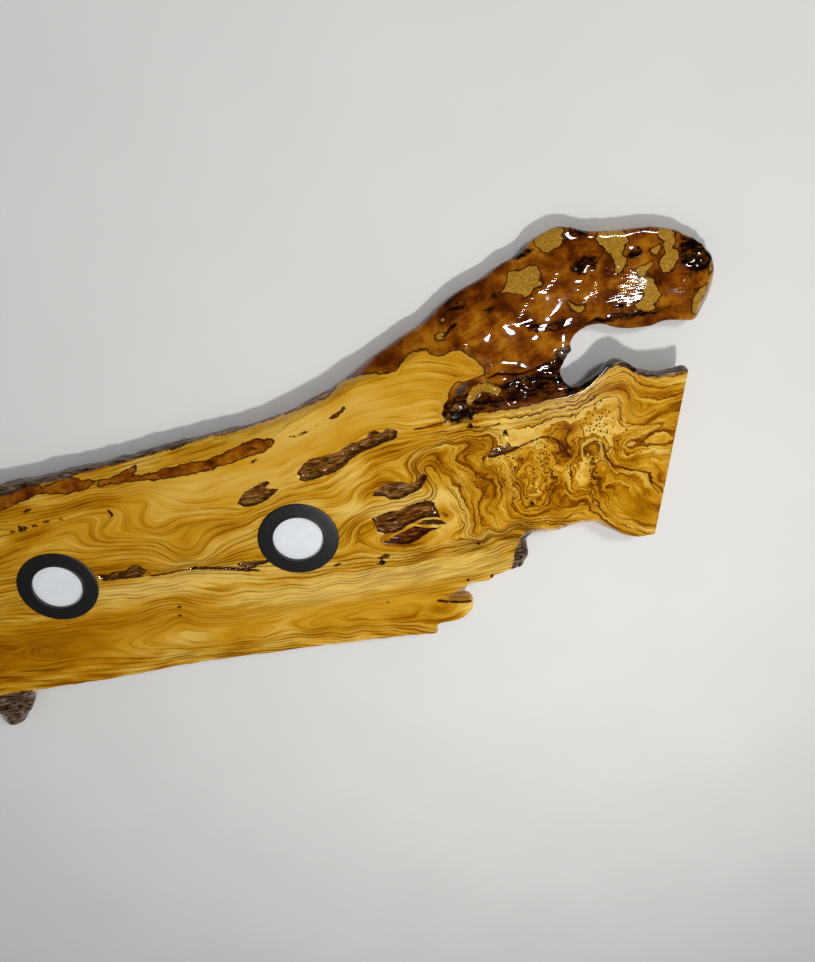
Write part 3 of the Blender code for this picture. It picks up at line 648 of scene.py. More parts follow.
# The growth-ring figure.
# Each year's ring shows on the sawn face as a line that runs round the pith, the knots and the burls. These
# are the rings that can be followed in the wood, by number, with the points that they pass in millimetres.
# A thin plate bent through them all gives the ring number anywhere between.
RING_LINES = (
    # Straight grain along the lower edge, with its two cathedrals.
    (22, ((-640, -103), (-600, -105), (-545, -112), (-500, -116), (-450, -103), (-420, -107), (-390, -112),
        (-340, -113), (-320, -120), (-300, -127), (-250, -131), (-190, -138), (-120, -139), (-80, -143),
        (0, -142), (60, -140), (100, -131), (125, -119))),
    (20, ((-700, -113), (-640, -112), (-600, -115), (-560, -124), (-500, -126), (-450, -121), (-430, -127),
        (-400, -125), (-350, -123), (-335, -127), (-320, -135), (-300, -143), (-280, -147), (-220, -151),
        (-160, -156), (-100, -155), (-20, -152), (60, -148), (100, -143), (120, -137))),
    (19, ((-440, -131), (-400, -132), (-345, -130), (-325, -141), (-300, -150))),
    (17, ((-700, -140), (-600, -142), (-500, -143), (-450, -148), (-420, -144), (-390, -140), (-352, -137),
        (-335, -147), (-300, -158), (-250, -162), (-190, -160), (-100, -161), (0, -157))),
    (15, ((-450, -168), (-420, -163), (-390, -158), (-355, -148), (-348, -150), (-320, -165), (-280, -172),
        (-190, -167), (-100, -166), (0, -164), (60, -163), (100, -158), (125, -152))),
    (13, ((-425, -179), (-400, -168), (-365, -157), (-352, -155), (-340, -162), (-325, -172), (-300, -178),
        (-270, -181), (-190, -176), (-100, -172), (-20, -172), (60, -170), (90, -166))),
    (13, ((-436, -190), (-420, -200), (-390, -207), (-350, -214), (-300, -220), (-250, -223), (-190, -225),
        (-130, -240))),
    (12, ((-408, -187), (-400, -180), (-385, -175), (-360, -166), (-345, -168), (-330, -176), (-290, -184),
        (-240, -184), (-190, -181))),
    (12, ((-400, -192), (-385, -197), (-370, -202), (-330, -211), (-290, -217), (-240, -220), (-200, -216),
        (-150, -221), (-100, -230), (-60, -240))),
    (11, ((-352, -199), (-350, -194), (-340, -191), (-310, -191), (-280, -192), (-265, -188), (-240, -187),
        (-200, -184), (-150, -178), (-90, -176), (-20, -179), (40, -178))),
    (11, ((-345, -206), (-330, -209), (-300, -213), (-250, -215), (-200, -211), (-160, -217), (-110, -225),
        (-60, -234), (-30, -243))),
    (10, ((-196, -205), (-186, -200), (-165, -193), (-140, -187), (-90, -182), (-40, -184), (20, -186))),
    (10, ((-190, -211), (-170, -215), (-120, -221), (-70, -229), (-30, -237))),
    (9, ((-173, -205), (-168, -200), (-155, -195), (-140, -193), (-100, -190), (-50, -193), (0, -195))),
    (9, ((-168, -211), (-155, -214), (-120, -217), (-80, -223), (-45, -230))),
    (8, ((-125, -207), (-110, -202), (-70, -200), (-20, -203), (15, -201))),
    (8, ((-115, -213), (-90, -217), (-60, -221), (-25, -222))),
    (9, ((-16, -219), (-18, -229), (-13, -237), (10, -236), (40, -226), (56, -215))),
    (16, ((-700, -200), (-640, -200), (-600, -204), (-560, -209), (-500, -211), (-450, -218), (-420, -223),
        (-380, -224), (-340, -222), (-300, -227), (-250, -232), (-200, -238))),
    (18, ((-720, -212), (-640, -216), (-590, -224), (-540, -228), (-500, -233), (-460, -237), (-420, -238),
        (-370, -233), (-340, -233), (-300, -237), (-270, -241))),
    (14, ((-640, -160), (-560, -165), (-500, -170), (-460, -180))),
    # Long lines through the lamps, the feather and the swirl between them.
    (24, ((-700, -98), (-592, -91), (-557, -91), (-500, -100), (-450, -97), (-400, -103), (-350, -103),
        (-310, -110), (-280, -118), (-240, -121), (-190, -126), (-120, -128), (-60, -131), (0, -131),
        (60, -128), (85, -122), (110, -114), (128, -103))),
    (27, ((-700, -80), (-580, -74), (-556, -73), (-500, -82), (-440, -80), (-400, -82), (-360, -84),
        (-330, -81), (-310, -79), (-290, -84), (-260, -91), (-240, -98), (-215, -104), (-160, -112),
        (-100, -116), (-60, -119), (0, -121), (40, -118), (70, -110), (95, -104))),
    (29, ((-620, -62), (-580, -61), (-556, -60), (-500, -62), (-440, -70), (-400, -72), (-370, -74))),
    (31, ((-580, -48), (-556, -49), (-500, -52), (-445, -58), (-410, -62), (-385, -62))),
    (33, ((-640, -38), (-570, -37), (-552, -37), (-500, -42), (-450, -47), (-410, -48), (-385, -50),
        (-360, -62))),
    (34, ((-700, -30), (-600, -31), (-565, -30), (-540, -26), (-500, -26), (-450, -36), (-410, -38),
        (-380, -42), (-360, -50), (-345, -62), (-335, -70), (-300, -76), (-280, -70), (-260, -60),
        (-240, -52), (-222, -48), (-215, -46))),
    (35, ((-520, -17), (-480, -17), (-450, -27), (-420, -28), (-400, -31), (-380, -35), (-365, -38),
        (-352, -44), (-342, -54), (-332, -67), (-315, -70), (-300, -71), (-286, -65), (-272, -55),
        (-250, -45), (-230, -41), (-208, -33))),
    (36, ((-600, -18), (-555, -12), (-520, -6), (-490, 2), (-465, 8), (-450, 5), (-452, -6), (-444, -16),
        (-420, -21), (-400, -24), (-380, -27), (-360, -31), (-345, -42), (-335, -53), (-326, -62),
        (-310, -65), (-297, -65), (-285, -56), (-270, -46), (-250, -38), (-225, -33), (-203, -22))),
    (37, ((-640, 0), (-548, 3), (-520, 10), (-490, 16), (-460, 21), (-435, 23), (-420, 20), (-427, 10),
        (-434, 0), (-428, -11), (-405, -18), (-385, -22), (-365, -26), (-350, -30), (-340, -38),
        (-332, -49), (-318, -56), (-302, -57), (-290, -48), (-275, -38), (-255, -31), (-235, -27),
        (-207, -15))),
    (38, ((-640, 18), (-550, 20), (-500, 21), (-460, 27), (-420, 30), (-398, 30), (-394, 26), (-405, 18),
        (-416, 6), (-419, -6), (-412, -13), (-395, -16), (-375, -20), (-352, -22), (-342, -28), (-334, -40),
        (-318, -48), (-303, -48), (-292, -38), (-275, -28), (-250, -22), (-225, -20), (-200, -8))),
    (39, ((-450, 33), (-400, 37), (-385, 30), (-382, 10), (-375, -5), (-360, -12), (-350, -16), (-340, -18),
        (-325, -15), (-310, -9), (-290, -5), (-270, -7), (-250, -10), (-230, -14), (-215, -12), (-198, -4),
        (-175, 5), (-150, 8), (-120, 10), (-95, 18), (-70, 30), (-45, 41), (-20, 46), (5, 48))),
    (40, ((-640, 38), (-545, 38), (-520, 34), (-450, 38), (-380, 44), (-350, 39), (-343, 33), (-345, 25),
        (-355, 17), (-358, 5), (-355, -4), (-345, -8), (-325, -5), (-290, 0), (-260, -2), (-235, -7),
        (-220, -7), (-205, -2), (-185, 8), (-160, 17), (-130, 19), (-100, 24), (-75, 37), (-50, 48),
        (-10, 56), (15, 56), (45, 54), (70, 50), (100, 48), (130, 48), (150, 50), (180, 52), (200, 55))),
    (41, ((-335, 42), (-333, 32), (-340, 22), (-345, 15), (-335, 11), (-300, 10), (-270, 8), (-250, 6),
        (-235, 0), (-220, -3), (-200, -3), (-182, 7), (-165, 20), (-145, 23), (-110, 26), (-85, 38),
        (-60, 48), (-30, 58), (-2, 62), (20, 61), (60, 60), (100, 60), (150, 57), (190, 60), (230, 62))),
    (42, ((-310, 36), (-300, 24), (-275, 18), (-252, 17), (-240, 24), (-225, 31), (-200, 37), (-175, 40),
        (-150, 42), (-140, 52), (-110, 60), (-80, 67), (-50, 78), (-30, 84), (-5, 83), (5, 76), (30, 74),
        (60, 74), (100, 68), (130, 68), (160, 65), (190, 66), (230, 68))),
    (43, ((-640, 48), (-540, 48), (-450, 50), (-380, 52), (-330, 50), (-300, 44), (-250, 42), (-200, 47),
        (-150, 56), (-110, 68), (-75, 80), (-45, 92), (-10, 93), (15, 90), (40, 92), (56, 95))),
    (44, ((-640, 56), (-540, 54), (-450, 58), (-380, 59), (-300, 54), (-240, 55), (-180, 61), (-130, 74),
        (-90, 90), (-60, 104), (-20, 108), (20, 110), (45, 112))),
    # Round the pale shield that holds the lower pockets.
    (38, ((-105, -8), (-90, -4), (-70, 6), (-50, 14), (-20, 18), (0, 14), (12, 6))),
    (37, ((-108, -20), (-90, -18), (-76, -10), (-66, 4), (-40, 10), (-20, 12), (-3, 8), (6, 0))),
    (36, ((-106, -32), (-88, -30), (-75, -28), (-66, -19), (-70, -8), (-60, 0), (-40, 6), (-20, 7))),
    (35, ((-104, -45), (-90, -42), (-72, -35), (-55, -26), (-35, -28), (-5, -27), (22, -20))),
    (34, ((-106, -60), (-97, -58), (-92, -48), (-72, -40), (-40, -33), (0, -31), (24, -27))),
    (32, ((-104, -80), (-98, -75), (-93, -62), (-80, -50), (-62, -44), (-30, -38), (5, -34), (27, -36))),
    (30, ((-100, -92), (-86, -80), (-87, -66), (-76, -54), (-60, -48), (-57, -62))),
    (30, ((-80, -79), (-66, -87), (-58, -99), (-30, -108), (0, -111), (25, -105), (42, -94), (52, -80),
        (45, -64), (38, -45))),
    (31, ((-70, -78), (-62, -86), (-48, -95), (-20, -103), (8, -101), (30, -90), (42, -82))),
    (29, ((-92, -97), (-75, -101), (-60, -110), (-20, -115), (20, -112), (40, -106), (60, -94), (66, -84))),
    # The fan between the shield and the burl.
    (31, ((18, 12), (33, -5), (42, -28), (50, -50), (58, -68), (56, -79), (44, -90), (24, -103))),
    (32, ((27, 18), (42, -5), (50, -20), (57, -35), (60, -50), (66, -62), (66, -75), (58, -88),
        (40, -100))),
    (33, ((36, 22), (52, -2), (62, -18), (68, -35), (70, -50), (75, -62), (73, -78), (66, -92),
        (50, -103))),
    (34, ((43, 24), (62, -5), (75, -20), (83, -35), (82, -50), (79, -60), (80, -75), (76, -88),
        (66, -101))),
    (35, ((52, 24), (70, 0), (85, -15), (97, -28), (98, -40), (90, -52), (84, -64), (86, -74), (97, -80),
        (99, -86), (90, -95), (78, -103))),
    (36, ((62, 24), (80, 3), (95, -10), (108, -25), (112, -38), (104, -50), (96, -62), (96, -70),
        (108, -78), (112, -88), (103, -98), (85, -109))),
    (37, ((74, 24), (92, 8), (107, -5), (118, -22), (121, -38), (118, -55), (112, -68), (119, -80),
        (122, -92), (114, -104))),
    (38, ((90, 22), (104, 12), (117, -2), (126, -20), (128, -40), (126, -60), (130, -78), (133, -92),
        (126, -104))),
    (34, ((24, 28), (38, 36), (56, 40), (72, 38))),
    (36, ((18, 36), (35, 43), (60, 48), (85, 45), (100, 38), (106, 30))),
    (38, ((8, 44), (35, 48), (60, 52), (90, 51), (112, 47))),
    (37, ((-40, 18), (-20, 22), (0, 26), (14, 30))),
    # The burl and its eyes.
    (39, ((112, 14), (128, 6), (136, -10), (134, -35), (134, -60), (140, -76), (150, -84), (172, -84),
        (200, -88), (240, -93))),
    (40, ((112, 10), (135, 14), (160, 20), (178, 20), (190, 8), (196, -12), (192, -40), (186, -62),
        (172, -72), (150, -70), (141, -50), (141, -25))),
    (40.4, ((148, -8), (165, 4), (180, 0), (186, -18), (182, -42), (170, -60), (154, -60), (148, -40),
        (146, -22))),
    (40.7, ((155, -20), (168, -14), (176, -26), (172, -44), (160, -48), (154, -34))),
    (38, ((143, -88), (150, -96), (200, -99), (240, -100))),
    (39, ((150, 30), (180, 31), (197, 29), (208, 18), (213, 0), (212, -12), (204, -30), (199, -55),
        (205, -72), (225, -78), (241, -80))),
    (40, ((222, 5), (232, -6), (240, -20), (238, -45), (225, -62), (212, -60), (210, -40), (216, -22))),
    (40.5, ((226, -22), (231, -34), (224, -46), (218, -38))),
    # The flare at the sawn end.
    (40, ((262, 8), (265, -10), (268, -22), (276, -31), (288, -37), (298, -42), (315, -43), (324, -50),
        (322, -62), (330, -76), (338, -84))),
    (41, ((250, 8), (256, -15), (263, -32), (275, -42), (290, -50), (303, -56), (308, -66), (314, -80),
        (324, -96), (332, -108))),
    (42, ((243, -5), (252, -25), (262, -45), (278, -56), (288, -66), (293, -80), (300, -95), (315, -113),
        (328, -124))),
    (41, ((241, -30), (248, -48), (254, -70), (260, -92), (274, -110), (298, -125), (322, -135))),
    (40, ((240, -62), (245, -84), (258, -106), (280, -125), (305, -142))),
    (39, ((346, 17), (320, 14), (297, 12), (285, 6), (280, -4), (285, -13), (300, -16), (325, -18),
        (356, -21))),
    (38, ((366, 25), (352, 23), (341, 15), (328, 8), (310, 4), (296, 3), (291, -2), (296, -7), (320, -7),
        (340, -11), (358, -11))),
    (40, ((362, 22), (350, 22), (315, 21), (298, 25), (289, 32), (286, 42), (288, 55), (284, 67), (272, 73),
        (255, 66), (235, 58))),
    (41, ((372, 44), (345, 42), (318, 38), (302, 40), (296, 52), (297, 66), (290, 80), (275, 80),
        (255, 73))),
    (42, ((374, 60), (340, 57), (318, 60), (306, 70), (296, 86), (280, 88), (255, 80))),
    (43, ((60, 84), (100, 76), (150, 72), (190, 73), (235, 76), (262, 92), (285, 102), (300, 98), (312, 84),
        (330, 74), (376, 73))),
    (44, ((140, 80), (190, 79), (235, 84), (258, 102), (290, 118), (308, 102), (325, 88), (380, 86))),
)

# The plate's unit in millimetres, how much it may miss a point, how many places it is asked for at once, and
# how far the rings lean as they go down into the wood.
PLATE_SCALE = 100.0
PLATE_EASE = 0.02
PLATE_BATCH = 20000
RING_SLANT = 0.45

# The width of the limb's rings in millimetres, how far the edge of its skin strays from the outline, the
# share of that off the limb, and the depth that a pocket never reaches.
LIMB_RING = 7.0
RAG = 7.0
LEAST_RAG = 0.25
BELOW_POCKETS = 20 * MM

# Soft ovals: middle, half length, half width, turn in degrees and amount. The tone ovals make the wood
# brighter where the amount is above 0 and browner below it; the two long bright ones along the lower grain
# are partly paler wood and partly painted sheen. FIGURE makes its lines stronger or fainter. Then come the
# burl's pin knots, the places where the varnish ripples, and the burls, whose rings tremble.
TONES_AND_SHEEN = (
    (-620, -165, 190, 48, 0, -0.85), (-640, 20, 130, 60, 0, -0.3), (-505, 15, 60, 40, 0, -0.25),
    (-395, 44, 60, 9, 2, -0.35), (-385, -3, 24, 24, 0, -0.2), (-300, -33, 38, 18, 20, -0.15),
    (-250, 38, 90, 22, 5, 0.35), (-350, -101, 170, 16, 0, 1.2), (-400, -150, 70, 16, 0, -0.35),
    (-300, -150, 60, 14, -10, -0.2), (-350, -190, 45, 12, 0, 0.25), (-250, -200, 50, 12, 0, -0.2),
    (-60, 110, 150, 45, 10, 0.3), (-20, -32, 70, 14, 0, 1.2), (-90, 0, 40, 20, 20, 0.2),
    (75, 22, 42, 22, 15, -0.5), (40, 15, 20, 25, 0, -0.25), (115, -25, 22, 30, 10, -0.25),
    (190, 5, 20, 38, 0, -0.3), (187, -55, 14, 40, 0, -0.3), (150, 45, 60, 14, 0, 0.1),
    (212, -45, 8, 30, 0, 0.4), (262, -55, 20, 45, 25, -0.3), (240, 62, 60, 16, 0, 0.4),
    (335, -40, 40, 45, 0, -0.1), (308, -84, 17, 10, 20, -0.5), (340, 50, 40, 30, 0, -0.25),
    (-60, -148, 190, 18, 0, 1.4), (-200, -110, 60, 14, 0, 0.15), (-230, -70, 50, 20, 0, -0.1),
    (-100, -205, 110, 20, 0, -0.1), (285, 35, 30, 30, 0, 0.4), (180, 66, 110, 13, 0, 0.35),
    (222, 22, 15, 24, 0, -0.5), (225, -42, 14, 22, 0, 0.4), (258, -62, 14, 42, 12, -0.35),
    (155, -45, 20, 22, 0, 0.25), (322, 4, 28, 14, 0, -0.35), (-415, -62, 45, 13, 0, -0.6),
    (130, -10, 90, 60, 0, -0.08), (198, -105, 50, 5, 0, -0.6), (18, 121, 18, 9, 0, -0.15),
)
FIGURE = (
    (-420, 0, 380, 130, 0, -0.5), (-200, -180, 500, 55, 0, -0.5), (222, 20, 18, 26, 0, 0.3),
    (-60, 110, 170, 50, 12, -0.8), (-250, 45, 110, 25, 0, -0.4), (110, -10, 90, 60, 0, 0.6),
    (195, -20, 55, 70, 0, 0.5), (290, -20, 80, 110, 0, 0.45), (-500, -165, 140, 45, 0, -0.25),
    (-20, -35, 60, 40, 0, -0.2), (-100, -200, 140, 30, 0, -0.2), (-20, -120, 180, 25, 0, 0.2),
)
PIN_KNOTS = (
    (256, 36, 19, 24, 0, 0.9), (179, -8, 12, 26, 0, 0.9), (157, -46, 20, 10, 0, 0.6),
    (243, -62, 7, 38, 0, 0.9), (150, 10, 25, 8, 0, 0.4), (285, 0, 20, 30, 0, 0.12),
)
RIPPLES = (
    (290, 222, 36, 26, 0, 1.0), (222, 240, 10, 8, 0, 0.8), (384, 198, 14, 22, 0, 0.9),
    (182, 212, 32, 6, 36, 0.6),
)
BURL = (
    (150, -15, 120, 70, 0, 1.0), (265, 0, 60, 90, 0, 0.7),
)

# How far the burl's rings tremble, in rings, how cloudy the tone is, how strong the figure is where no oval
# changes it, its limits, and what the limb adds to both.
BURL_TREMBLE = 1.3
TONE_CLOUD = 0.5
PLAIN_FIGURE = 0.9
FIGURE_LIMITS = (0.15, 1.8)
LIMB_TONE = -0.4
LIMB_FIGURE = -0.7

# The blackness from which a dark mark is a stain and from which it is ink, how dull the bare patches and the
# notch's rim are, and how much the varnish ripples over the pockets' floors.
STAIN_BLACK = 0.5
INK_BLACK = 0.85
DULL_PATCH = 0.7
DULL_RIM = 0.85
POCKET_RIPPLES = 1.2

# The peeled rim that shows along the lower notch, and how far it reaches from the edge in millimetres.
NOTCH_EDGE = (
    (150, -127), (168, -128), (193, -130), (217, -126), (239, -126), (252, -135), (265, -142), (288, -153),
    (303, -158),
)
NOTCH_RIM = (3.5, 6.0)


def squared_reach(places, points):
    """The square of each place's distance to each point, kept just above 0."""
    return ((places[:, None] - points[None]) ** 2).sum(axis=2) + 1e-12


def thin_plate(points, values):
    """The weights of the plate that passes the values at the points."""
    count = len(points)
    reach = squared_reach(points, points)
    edge = np.c_[np.ones(count), points]
    system = np.zeros((count + 3, count + 3))
    system[:count, :count] = reach * np.log(reach) / 2 + PLATE_EASE * np.eye(count)
    system[:count, count:] = edge
    system[count:, :count] = edge.T
    return np.linalg.solve(system, np.r_[values, np.zeros(3)])


def ring_numbers(places):
    """The ring number at each place of the drawing, and how many rings there are to a millimetre."""
    points = np.array([place for number, line in RING_LINES for place in line]) / PLATE_SCALE
    values = np.array([number for number, line in RING_LINES for place in line], float)
    weights = thin_plate(points, values)
    pull = weights[:-3]
    rings = []
    grades = []
    for some in np.array_split(places / PLATE_SCALE, 1 + len(places) // PLATE_BATCH):
        reach = squared_reach(some, points)
        curve = np.log(reach)
        rings.append(reach * curve / 2 @ pull + weights[-3] + some @ weights[-2:])
        slope = some * ((curve + 1) @ pull)[:, None] - (curve + 1) @ (points * pull[:, None]) + weights[-2:]
        grades.append(np.linalg.norm(slope, axis=1) / PLATE_SCALE)
    return np.concatenate(rings), np.concatenate(grades)


def mark(piece, name, values):
    """Keeps one value for each point of a piece, for its material to read."""
    layer = piece.data.attributes.new(name, "FLOAT", "POINT")
    layer.data.foreach_set("value", np.asarray(values, np.float32))


wood = new_object("olive_wood_slab", slab)
points = np.array([v.co for v in wood.data.vertices])
places = seen(points)
depth, redness = pocket_depth(drawn(points))
open_face = points[:, 2] > SAWN_FACE - BELOW_POCKETS
on_limb = smooth(-6, 6, reach_in(BROWN_SKIN[:1], places))
strays = np.c_[rough(places, size=9, kind=50, layers=3), rough(places, size=9, kind=54, layers=3)] - 0.5
ragged = places + RAG * (LEAST_RAG + (1 - LEAST_RAG) * on_limb[:, None]) * strays
skin = np.minimum(reach_in(BROWN_SKIN, ragged), -reach_in(BARE_PATCHES, ragged))
across, along = beside_line(LIMB_PITH, places)
slanted = places + np.c_[np.zeros(len(points)), (SAWN_FACE - points[:, 2]) / MM * RING_SLANT]
ring, grade = ring_numbers(slanted)
ring += amount(BURL, places) * BURL_TREMBLE * (rough(places, size=17, kind=30, layers=3) - 0.5)
# The tone, with the painted sheen of the bright ovals along the lower grain.
tone_and_sheen = amount(TONES_AND_SHEEN, places) + TONE_CLOUD * (rough(places, size=60, kind=40, layers=2) - 0.5)
figure = PLAIN_FIGURE + amount(FIGURE, places)
notch_rim = smooth(NOTCH_RIM[1], NOTCH_RIM[0], abs(beside_line(NOTCH_EDGE, places)[0]))
natural = natural_share(points)
mark(wood, "ring", ring * (1 - on_limb) + (across / LIMB_RING) * on_limb)
mark(wood, "grade", grade * (1 - on_limb) + on_limb / LIMB_RING)
mark(wood, "tone_and_sheen", tone_and_sheen + LIMB_TONE * on_limb)
mark(wood, "figure", np.clip(figure + LIMB_FIGURE * on_limb, *FIGURE_LIMITS))
mark(wood, "pins", amount(PIN_KNOTS, places))
mark(wood, "skin", skin)
mark(wood, "bark", reach_in(BARK, places))
mark(wood, "ink_and_slit_shade", dark_reach(places, INK_BLACK))
mark(wood, "stain", dark_reach(places, STAIN_BLACK, INK_BLACK))
mark(wood, "trace", dark_reach(places, below=STAIN_BLACK))
mark(wood, "depth", np.where(open_face, depth, 0))
mark(wood, "redness", redness)
mark(wood, "across", across)
mark(wood, "along", along)
mark(wood, "natural", natural)
mark(wood, "scraped", np.maximum(DULL_PATCH * natural * on_limb, DULL_RIM * notch_rim))
mark(wood, "ripples", amount(RIPPLES, places) + POCKET_RIPPLES * smooth(2, 6, depth) * open_face)
mark(wood, "crust", np.clip(amount(CRUST, places), 0, 1))
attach(wood, "root")
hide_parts("olive_slab")


def linear(code):
    """An sRGB hex colour as linear red, green, blue and alpha."""
    channels = [int(code[i:i + 2], 16) / 255 for i in (1, 3, 5)]
    return [c / 12.92 if c <= 0.04045 else ((c + 0.055) / 1.055) ** 2.4 for c in channels] + [1.0]


def add(tree, kind, inputs, stops=(), **settings):
    """Adds a node with its settings. An input is a value, or the node or socket that feeds it.

    Inputs without a name go by number: a Map Range's are the value, its lowest and highest, and what those
    two become. A pattern's scale is how many of its waves go into a metre, so 1000 is one a millimetre."""
    node = tree.nodes.new("ShaderNode" + kind)
    for name, value in settings.items():
        setattr(node, name, value)
    for key, value in inputs.items():
        if isinstance(value, bpy.types.Node):
            value = next(output for output in value.outputs if output.enabled)
        if isinstance(value, bpy.types.NodeSocket):
            tree.links.new(value, node.inputs[key])
        else:
            node.inputs[key].default_value = value
    for index, (position, code) in enumerate(stops):
        elements = node.color_ramp.elements
        inner = 0 < index < len(stops) - 1
        element = elements.new(position) if inner else elements[0 if index == 0 else len(elements) - 1]
        element.position = position
        element.color = linear(code)
    return node


def new_tree(name):
    """A material with an empty node tree, and the tree."""
    made = bpy.data.materials.new(name)
    made.use_nodes = True
    made.node_tree.nodes.clear()
    return made, made.node_tree


# Varnished olive wood: hardwood under several coats of clear gloss varnish. The eye gets a deep golden yellow
# with brown ring lines behind a thin, sharp sheen. Noise on the ring number draws the lines; lines finer
# than about a millimetre are drawn that coarse, so that they show.
olive, tree = new_tree("varnished olive wood")
place = add(tree, "TexCoord", {}).outputs["Object"]
axes = add(tree, "SeparateXYZ", {0: place})
kept = {}
for name in (
        "ring", "grade", "tone_and_sheen", "figure", "pins", "skin", "bark", "ink_and_slit_shade", "stain", "trace", "depth",
        "redness", "across", "along", "natural", "scraped", "ripples", "crust"):
    kept[name] = add(tree, "Attribute", {}, attribute_name=name).outputs["Fac"]

# The burl's lines tremble; the calm wood's run straight.
tremble = add(tree, "TexNoise", {"Vector": place, "Scale": 65.0, "Detail": 3.0, "Roughness": 0.6})
tremble = add(tree, "Math", {0: tremble, 1: 0.5}, operation="SUBTRACT")
burly = add(tree, "MapRange", {0: kept["figure"], 1: 0.7, 2: 1.5, 3: 1.0, 4: 26.0})
burly = add(tree, "Math", {0: burly, 1: kept["grade"]}, operation="MULTIPLY")
ring = add(tree, "Math", {0: tremble, 1: burly, 2: kept["ring"]}, operation="MULTIPLY_ADD")

# Noise on the ring number and the place gives streaks along the rings, from broad bands to fine lines. The
# lines make the wood light and dark where the figure is strong, the bands do everywhere, and so do the tone
# and its painted sheen.
ringed = add(tree, "CombineXYZ", {0: ring, 1: axes.outputs["X"], 2: axes.outputs["Y"]})
streak = {}
for name, scale, detail in (
        ("broad", (0.45, 9, 9), 3), ("line", (1.9, 14, 14), 2), ("fine", (6.5, 26, 26), 2),
        ("fade", (0.7, 20, 20), 2)):
    stretched = add(tree, "VectorMath", {0: ringed, 1: scale}, operation="MULTIPLY")
    streak[name] = add(tree, "TexNoise", {"Vector": stretched, "Scale": 1.0, "Detail": detail})
light = -0.85
for name, strength in (("line", 0.9), ("fine", 0.8)):
    light = add(tree, "Math", {0: streak[name], 1: strength, 2: light}, operation="MULTIPLY_ADD")
light = add(tree, "Math", {0: light, 1: kept["figure"], 2: 0.74}, operation="MULTIPLY_ADD")
bands = add(tree, "Math", {0: streak["broad"], 1: 0.5}, operation="SUBTRACT")
banded = add(tree, "MapRange", {0: kept["figure"], 1: 0.25, 2: 0.6, 3: 0.4, 4: 1.3})
light = add(tree, "Math", {0: bands, 1: banded, 2: light}, operation="MULTIPLY_ADD")
light = add(tree, "Math", {0: kept["tone_and_sheen"], 1: 0.45, 2: light}, operation="MULTIPLY_ADD")

# Each ring ends in a thin dark line and starts brown beside it. Weaker rings lie between the strong ones.
strength = add(tree, "MapRange", {0: streak["fade"], 1: 0.36, 2: 0.6, 3: 0.1, 4: 1.0})
strength = add(tree, "Math", {0: strength, 1: kept["figure"]}, operation="MULTIPLY")
lines = {}
for name, often, shade, darkness, width in (("strong", 1.0, 0.3, 0.95, 1.5), ("weak", 2.6, 0.16, 0.5, 1.1)):
    share = add(tree, "Math", {0: ring, 1: often}, operation="MULTIPLY")
    late = add(tree, "Math", {0: share}, operation="FRACT")
    late = add(tree, "MapRange", {0: late, 1: 0.0, 2: 0.6, 3: -shade, 4: 0.0},
               interpolation_type="SMOOTHSTEP")
    light = add(tree, "Math", {0: late, 1: strength, 2: light}, operation="MULTIPLY_ADD")
    away = add(tree, "Math", {0: share, 1: 0.5}, operation="PINGPONG")
    away = add(tree, "Math", {0: away, 1: kept["grade"]}, operation="DIVIDE")
    away = add(tree, "MapRange", {0: away, 1: 0.25 * often * width, 2: often * width, 3: darkness, 4: 0.0})
    lines[name] = add(tree, "Math", {0: away, 1: strength}, operation="MULTIPLY", use_clamp=True)
body = add(tree, "ValToRGB", {0: light}, stops=(
    (0.0, "#582900"), (0.25, "#8B5000"), (0.5, "#B77A08"), (0.72, "#D29A22"), (1.0, "#EEC45E")))
for name, code in (("weak", "#804800"), ("strong", "#5C2E00")):
    body = add(tree, "Mix", {0: lines[name], 6: body, 7: linear(code)}, data_type="RGBA")

# Pin knots: the burl's clustered little eyes, a dark dot each, about 4 mm apart.
cells = add(tree, "TexVoronoi", {"Vector": place, "Scale": 230.0}, voronoi_dimensions="2D")
chance = add(tree, "SeparateColor", {0: cells.outputs["Color"]})
wanted = add(tree, "Math", {0: kept["pins"], 1: chance}, operation="GREATER_THAN")
size = add(tree, "MapRange", {0: chance.outputs["Green"], 3: 0.6, 4: 1.5})
dot = add(tree, "Math", {0: cells.outputs["Distance"], 1: size}, operation="DIVIDE")
dot = add(tree, "MapRange", {0: dot, 1: 0.15, 2: 0.38, 3: 0.95, 4: 0.0})
dot = add(tree, "Math", {0: dot, 1: wanted}, operation="MULTIPLY")
body = add(tree, "Mix", {0: dot, 6: body, 7: linear("#3A1803")}, data_type="RGBA")

# Bare patches: where the bast came away from the round wood as well, dull tan with fine specks.
specks = add(tree, "TexNoise", {"Vector": place, "Scale": 330.0, "Detail": 2.0})
dull = add(tree, "ValToRGB", {0: specks}, stops=((0.32, "#86601C"), (0.5, "#A07A2C"), (0.7, "#B8944A")))
body = add(tree, "Mix", {0: kept["scraped"], 6: body, 7: dull}, data_type="RGBA")

# Inner skin: thin brown bast left by the peeling, streaked along the limb, with a dark rim at its border.
wander = add(tree, "TexNoise", {"Vector": place, "Scale": 90.0, "Detail": 4.0, "Roughness": 0.6})
shift = add(tree, "Math", {0: wander, 1: 9.0, 2: -4.5}, operation="MULTIPLY_ADD")
length = add(tree, "Math", {0: kept["along"], 1: 0.028}, operation="MULTIPLY")
width = add(tree, "Math", {0: kept["across"], 1: 0.2}, operation="MULTIPLY")
combed = add(tree, "CombineXYZ", {0: length, 1: width, 2: axes.outputs["Z"]})
streaks = add(tree, "TexNoise", {"Vector": combed, "Scale": 1.0, "Detail": 4.0, "Roughness": 0.6})
clouds = add(tree, "TexNoise", {"Vector": place, "Scale": 24.0, "Detail": 5.0, "Roughness": 0.6})
brown = add(tree, "Math", {0: clouds, 1: 1.9, 2: -0.8}, operation="MULTIPLY_ADD")
